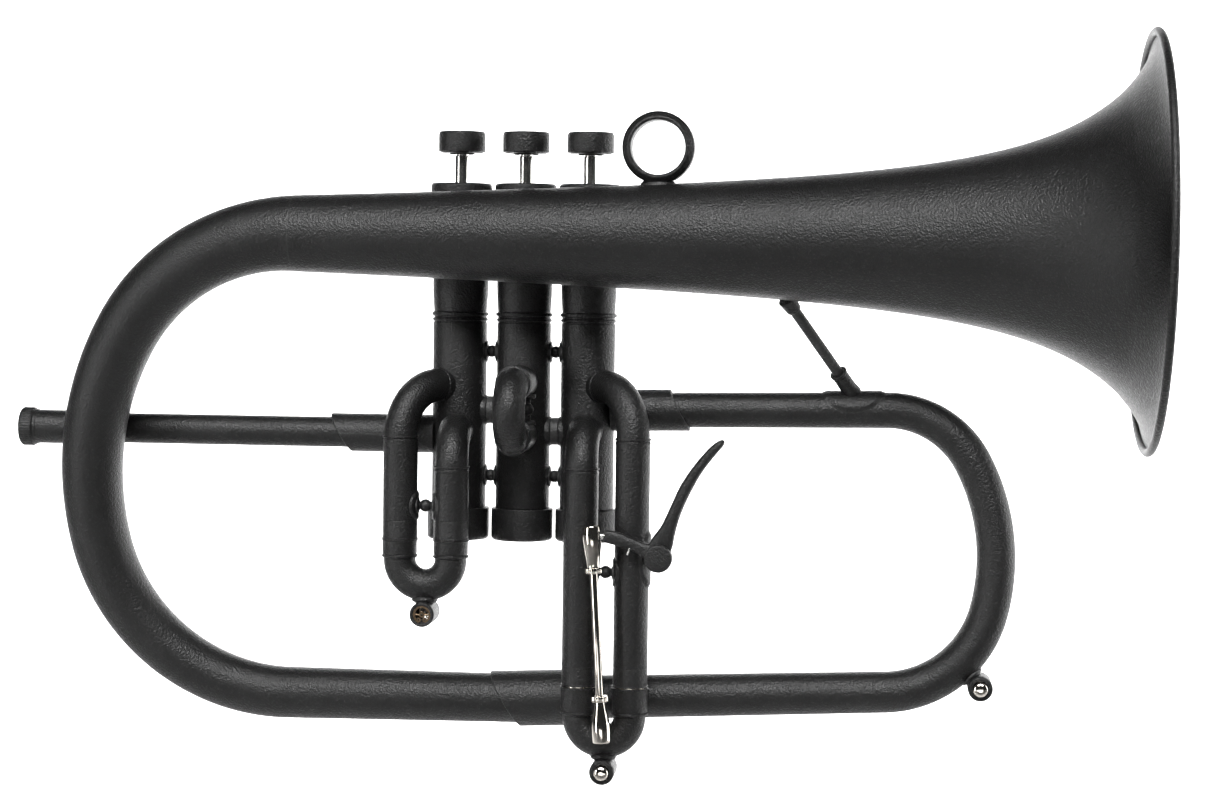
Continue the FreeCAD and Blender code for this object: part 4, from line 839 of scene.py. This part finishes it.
def forged(rows, sides=28):
    """Cast limb in the lever's plane; rows are (x, z, half height, half width) from the pivot."""
    rows = smooth_line(rows)
    vertices = []
    for i, (x, z, thick, wide) in enumerate(rows):
        back, ahead = rows[max(i - 1, 0)], rows[min(i + 1, len(rows) - 1)]
        run = Vector((ahead[0] - back[0], 0, ahead[1] - back[1])).normalized()
        normal = Vector((-run.z, 0, run.x))
        for k in range(sides):
            a = 2 * math.pi * k / sides
            c, s = math.cos(a), math.sin(a)
            u = math.copysign(abs(c) ** 0.72, c)
            v = math.copysign(abs(s) ** 0.72, s)
            vertices.append(PIVOT + Vector((x, 0, z)) + normal * thick * u + Y * wide * v)
    last = (len(rows) - 1) * sides
    ends = [tuple(range(sides))[::-1], tuple(last + k for k in range(sides))]
    return vertices, skin(len(rows), sides, False) + ends


def bake(made):
    """Keeps the mesh that a piece's modifiers give, and drops the modifiers."""
    mesh = bpy.data.meshes.new_from_object(
        made.evaluated_get(bpy.context.evaluated_depsgraph_get()))
    made.modifiers.clear()
    made.data = mesh


def melted(made, voxel, passes):
    """Runs the overlapping parts of a piece into one skin with soft inner corners."""
    grid = made.modifiers.new("one skin", "REMESH")
    grid.mode = "VOXEL"
    grid.voxel_size = voxel * MM
    grid.use_smooth_shade = True
    soften = made.modifiers.new("soft corners", "SMOOTH")
    soften.factor = 0.5
    soften.iterations = passes
    bake(made)
    for face in made.data.polygons:
        face.use_smooth = True


arm_rows = [(-20.0, 7.6, 0.6, 0.6), (-19.7, 7.55, 2.2, 1.35), (-15.5, 6.7, 2.5, 1.55),
            (-10.5, 5.1, 2.2, 1.6), (-6.5, 3.3, 2.4, 1.7), (-2.5, 1.4, 3.2, 1.9), (0, 0, 3.6, 2.0)]
paddle_rows = [(-0.6, 1.0, 4.0, 2.0), (1.2, 5.4, 4.1, 2.2), (3.4, 10.6, 2.9, 2.7),
               (5.9, 17.3, 2.35, 3.15), (9.5, 25.4, 2.3, 3.3), (13.9, 32.7, 2.0, 3.3),
               (18.9, 39.0, 1.75, 3.1), (22.0, 42.0, 1.3, 2.5), (23.2, 43.0, 0.5, 1.4)]
hub_line = [(SCREW_R + 0.05, -1.9), (HUB_R - 0.1, -1.9), (HUB_R - 0.1, 2.4), (SCREW_R + 0.05, 2.4)]
lever = piece("trigger_lever", [forged(arm_rows), forged(paddle_rows),
                                lathe(rounded(hub_line, 0.4), PIVOT, Y)],
              coat, "trigger", "trigger_lever")
melted(lever, 0.34, 5)
neck = [(0, -2.0)] + [(2.0 * math.sin(a), -2.0 * math.cos(a))
                      for a in (math.pi * k / 24 for k in range(1, 20))] + [(1.1, 1.9), (1.1, 6.2),
                                                                           (0, 6.2)]
piece("trigger_lever_ball", [lathe(neck, lever_ball, PIVOT + Vector((-17.0, 0, 7.2)) - lever_ball,
                                   False, 48)], steel, "trigger")
head = [(0, 0), (HUB_R - 0.4, 0), (HUB_R, 0.5), (HUB_R, 1.9), (SCREW_R, 1.9), (SCREW_R, 14.4),
        (0, 14.4)]
soldered("trigger_pivot_screw",
         lathe(rounded(head, 0.35, closed=False), PIVOT - Y * 4.1, Y, False))
leg = Vector((THIRD_X[1], SLIDE_Y, 0))
saddle_low, saddle_high = span("trigger_saddle")
plate_mid = (saddle_low.z + saddle_high.z) / 2
plate_half = (saddle_high.z - saddle_low.z) / 2
facing = Vector((1, -0.15, 0)).normalized()
lug = lathe(rounded([(SCREW_R + 0.02, 5.5), (3.9, 5.5), (3.9, 10.9), (SCREW_R + 0.02, 10.9)], 0.4),
            PIVOT, Y, True, 48)
block = []
for x in (leg.x + 4.5, PIVOT.x):
    for y in (PIVOT.y + 5.6, PIVOT.y + 10.8):
        for z in (PIVOT.z - 3.4, PIVOT.z + 3.4):
            block.append(Vector((x, y, z)))
block_faces = [(0, 1, 3, 2), (4, 6, 7, 5), (0, 4, 5, 1), (2, 3, 7, 6), (0, 2, 6, 4), (1, 5, 7, 3)]
soldered("trigger_saddle",
         oval_pad(leg + Z * plate_mid, Z, facing, LEG_R, plate_half, 6.0, 0.8), lug,
         (block, block_faces))
dress("trigger_spring", spring_wire)
pin = PIVOT + Vector((-10.9, -1.2, 2.2))
piece("spring_pin", [lathe(rounded([(0, -1.4), (0.45, -1.4), (0.45, 1.4), (0, 1.4)], 0.15,
                                   closed=False), pin, Z + X * 0.35, False, 20)], steel, "trigger")

# ---- Link ---------------------------------------------------------------------------------------
# The adjustable link is a threaded rod between two nickel-plated barrel sockets, each locked by
# a ribbed nut.  The upper barrel takes the lever's ball, the lower one the stud on the crook.
ROD_R, NUT_R = 1.5, 3.1
STUD = Vector((227.5, -34.0, -105.8))
SOCKET_SHIFT = 0.65
low_centre = STUD + X * SOCKET_SHIFT
upward = (lever_ball - low_centre).normalized()


def carved(made, outline):
    """Cuts the given closed mesh parts out of a piece."""
    cutter = piece(made.name + "_cutter", outline, made.data.materials[0], "link")
    cut = made.modifiers.new("opening", "BOOLEAN")
    cut.operation = "DIFFERENCE"
    cut.object = cutter
    cut.solver = "EXACT"
    bpy.context.view_layer.update()
    bake(made)
    bpy.data.objects.remove(cutter)


def ribbed(made_line, origin, axis, ribs, depth):
    """Turned ring whose outer face has ribs."""
    vertices, faces = lathe(made_line, origin, axis, True, ribs * 4)
    along = Vector(axis).normalized()
    out = []
    for i, v in enumerate(vertices):
        spoke = v - Vector(origin)
        spoke -= along * spoke.dot(along)
        rib = (i % (ribs * 4)) % 4
        outer = spoke.length > NUT_R - 0.45
        out.append(v - spoke.normalized() * (depth if outer and rib in (0, 1) else 0.0))
    return out, faces


def barrel_line(stops):
    """Smooth barrel profile that closes on the axis at both ends."""
    line = [Vector(row) for row in smooth_line(stops, 6)]
    return [Vector((0, line[0].y))] + line + [Vector((0, line[-1].y))]


upper_stops = [(2.7, -3.4), (3.0, -3.3), (3.25, -2.2), (3.45, 0.0), (3.35, 3.0), (2.8, 7.5),
               (2.4, 10.6), (2.35, 11.9)]
lower_stops = [(2.9, -3.9), (3.25, -3.5), (3.4, -1.5), (3.45, 1.5), (3.2, 4.5), (2.5, 7.8),
               (1.95, 11.3)]
nut_line = rounded([(ROD_R, 0), (NUT_R, 0), (NUT_R, 2.1), (ROD_R, 2.1)], 0.3)
upper = piece("upper_link_socket", [lathe(barrel_line(upper_stops), lever_ball, -upward, False)],
              nickel, "link", "link_sockets", crease=40)
lower = piece("lower_link_socket", [lathe(barrel_line(lower_stops), low_centre, upward, False)],
              nickel, "link", "link_sockets", crease=40)


def ball_line(radius):
    return [(radius * math.sin(a), -radius * math.cos(a)) for a in
            (math.pi * k / 24 for k in range(25))]


def slot_block(low, high):
    corners = [Vector((x, y, z)) for x in (low.x, high.x) for y in (low.y, high.y)
               for z in (low.z, high.z)]
    return corners, block_faces


carved(upper, [lathe(ball_line(2.1), lever_ball, Z, False, 48)])
carved(upper, [slot_block(lever_ball + Vector((0.6, -1.5, -2.4)),
                          lever_ball + Vector((6.6, 1.5, 3.8)))])
carved(lower, [lathe(ball_line(2.6), low_centre, Z, False, 48)])
carved(lower, [slot_block(low_centre + Vector((-2.0, 0.4, -1.7)),
                          low_centre + Vector((2.0, 6.4, 1.7)))])
piece("link_lock_nuts",
      [ribbed(nut_line, lever_ball - upward * 11.8, -upward, 22, 0.22),
       ribbed(nut_line, low_centre + upward * 11.2, upward, 22, 0.22)], nickel, "link", crease=50)
rod_start, rod_end = low_centre + upward * 8.2, lever_ball - upward * 11.4
rod_length = (rod_end - rod_start).length
piece("link_rod", [lathe(rounded([(0, 0), (ROD_R, 0), (ROD_R, rod_length), (0, rod_length)], 0.1,
                                 closed=False), rod_start, upward, False, 48)], nickel, "link",
      "link_rod")
stud_end = span("third_link_stud")[1].y
stud_line = [(1.8 * math.sin(a), -1.8 * math.cos(a)) for a in
             (math.pi * k / 24 for k in range(19))]
reach = stud_end - STUD.y
stud_line += [(1.1, 1.9), (1.1, reach - 3.0), (1.6, reach - 2.4), (2.7, reach - 1.9),
              (2.8, reach - 0.9), (2.8, reach), (0, reach)]
piece("third_link_stud", [lathe(stud_line, STUD, Y, False, 48)], nickel, "third_slide",
      "third_link_stud")

# ---- Finger ring --------------------------------------------------------------------------------
# A band of rolled brass with softened edges for the little finger, soldered to the top of the
# bell on a small foot.
ring_low, ring_high = span("finger_ring")
RING_INNER = 9.8
ring_outer = (ring_high.x - ring_low.x) / 2
ring_centre = Vector(((ring_low.x + ring_high.x) / 2, (ring_low.y + ring_high.y) / 2,
                      ring_high.z - ring_outer))
ring_half = (ring_high.y - ring_low.y) / 2
band = rounded([(RING_INNER, -ring_half + 0.9), (RING_INNER + 0.5, -ring_half),
                (RING_INNER + 1.3, -ring_half), (ring_outer, -ring_half + 2.2),
                (ring_outer, ring_half - 2.2), (RING_INNER + 1.3, ring_half),
                (RING_INNER + 0.5, ring_half), (RING_INNER, ring_half - 0.9)], 0.35)
foot_r = bell_radius(ring_centre.x)
soldered("finger_ring", lathe(band, ring_centre, Y, True, 128),
         oval_pad(Vector((ring_centre.x, bell_axis.y, bell_axis.z)), X, Z, foot_r, 6.6,
                  ring_half - 0.9, 1.1))

# ---- Bell brace and supports --------------------------------------------------------------------
# A thin strut in two tapered sockets props the bell on the main tube, and stands on an oval pad.
# Two short posts, hidden behind the bell, hold it off the first and third casings.
BRACE_R = 2.05
BRACE_TOP, BRACE_FOOT = Vector((292.4, -28.0, 53.5)), Vector((317.5, -1.5, 17.5))
down = (BRACE_FOOT - BRACE_TOP).normalized()
strut = (BRACE_FOOT - BRACE_TOP).length
soldered("bell_brace", lathe([(0, 0.5), (BRACE_R, 0.5), (BRACE_R, strut - 1), (0, strut - 1)],
                             BRACE_TOP, down, False, 48))
upper_socket = rounded([(BRACE_R - 0.3, 1.0), (3.4, 1.0), (3.1, 3.2), (2.75, 6.5),
                        (BRACE_R - 0.3, 7.0)], 0.3)
lower_socket = rounded([(BRACE_R - 0.3, strut - 12.0), (3.3, strut - 12.0), (3.3, strut - 11.0),
                        (2.95, strut - 10.7), (3.05, strut - 4.0), (3.5, strut - 0.6),
                        (BRACE_R - 0.3, strut - 0.6)], 0.2)
main_axis = front[0][0] + front[0][1] * ((BRACE_FOOT.x - front[0][0].x) / front[0][1].x)
soldered("bell_brace_flanges", lathe(upper_socket, BRACE_TOP, down, True, 48),
         lathe(lower_socket, BRACE_TOP, down, True, 48),
         oval_pad(main_axis, front[0][1], Vector((0, -0.12, 1)).normalized(), FRONT_R[1] - 0.05,
                  12.0, 10.6, 0.75))
dress("bell_supports", coat)

# ---- Studio -------------------------------------------------------------------------------------
# A pale floor that curves up behind the horn, a long key box over the viewer, weaker boxes at
# both sides and low in front, and a long lens slightly round towards the bell.
FLOOR_Z, BACK_Y = -0.42, 1.6


def paper(name):
    """Pale seamless paper with a faint tooth."""
    material, tree, shader, place = finish(name)
    tooth = add(tree, "ShaderNodeTexNoise", {"Vector": place, "Scale": 900.0, "Detail": 4.0})
    tone = ramp(tree, tooth.outputs["Fac"], (0.2, 0.84), (0.8, 0.88))
    tree.links.new(tone, shader.inputs["Base Color"])
    shader.inputs["Roughness"].default_value = 0.9
    return material


def cove():
    """Floor and backdrop as one sheet."""
    line = [(-3.0, FLOOR_Z), (BACK_Y - 0.8, FLOOR_Z)]
    for k in range(1, 17):
        a = math.pi / 2 * k / 16
        line.append((BACK_Y - 0.8 + 0.8 * math.sin(a), FLOOR_Z + 0.8 * (1 - math.cos(a))))
    line.append((BACK_Y, 3.0))
    vertices = [(x, y, z) for y, z in line for x in (-4.0, 4.5)]
    faces = [(2 * k, 2 * k + 1, 2 * k + 3, 2 * k + 2) for k in range(len(line) - 1)]
    mesh = bpy.data.meshes.new("cove")
    mesh.from_pydata(vertices, [], faces)
    for face in mesh.polygons:
        face.use_smooth = True
    mesh.materials.append(paper("pale paper"))
    sheet = bpy.data.objects.new("cove", mesh)
    bpy.context.scene.collection.objects.link(sheet)


def soft_box(name, place, aim, size, power, spread):
    """Area light with a grid over it, which keeps its light off the floor in front."""
    lamp = bpy.data.lights.new(name, "AREA")
    lamp.shape = "RECTANGLE"
    lamp.size, lamp.size_y = size
    lamp.energy = power
    lamp.spread = math.radians(spread)
    made = bpy.data.objects.new(name, lamp)
    made.location = place
    made.rotation_euler = (Vector(aim) - Vector(place)).to_track_quat("-Z", "Y").to_euler()
    bpy.context.scene.collection.objects.link(made)


cove()
middle = (0.21, 0.0, 0.0)
soft_box("key box", (0.2, -1.1, 1.0), middle, (2.4, 0.35), 7.0, 55)
soft_box("left box", (-0.85, -0.8, 0.0), middle, (0.25, 0.9), 1.1, 70)
soft_box("right box", (1.35, 0.35, 0.1), middle, (0.9, 1.0), 3.0, 90)
soft_box("front card", (0.27, -1.3, -0.38), (0.27, 0.0, -0.12), (0.7, 0.25), 0.5, 120)
soft_box("backdrop light", (0.2, 0.5, 1.0), (0.2, 1.6, 0.0), (2.6, 0.5), 55.0, 110)
world = bpy.data.worlds.new("studio air")
bpy.context.scene.world = world
world.use_nodes = True
world.node_tree.nodes["Background"].inputs["Color"].default_value = (1.0, 1.0, 1.0, 1.0)
world.node_tree.nodes["Background"].inputs["Strength"].default_value = 0.025
bpy.context.scene.view_settings.view_transform = "Standard"

azimuth, elevation, roll = math.radians(5.7), math.radians(2.66), math.radians(0.75)
back = Vector((math.sin(azimuth) * math.cos(elevation), -math.cos(azimuth) * math.cos(elevation),
               math.sin(elevation)))
right = Vector((math.cos(azimuth), math.sin(azimuth), 0))
over = right.cross(-back)
lens = bpy.data.cameras.new("camera")
lens.lens = 77.1
lens.clip_start = 0.05
camera = bpy.data.objects.new("camera", lens)
turned_right = right * math.cos(roll) + over * math.sin(roll)
turned_up = over * math.cos(roll) - right * math.sin(roll)
camera.matrix_world = Matrix.Translation((0.32225, -0.97067, 0.05753)) @ Matrix(
    (turned_right, turned_up, back)).transposed().to_4x4()
bpy.context.scene.collection.objects.link(camera)
bpy.context.scene.camera = camera
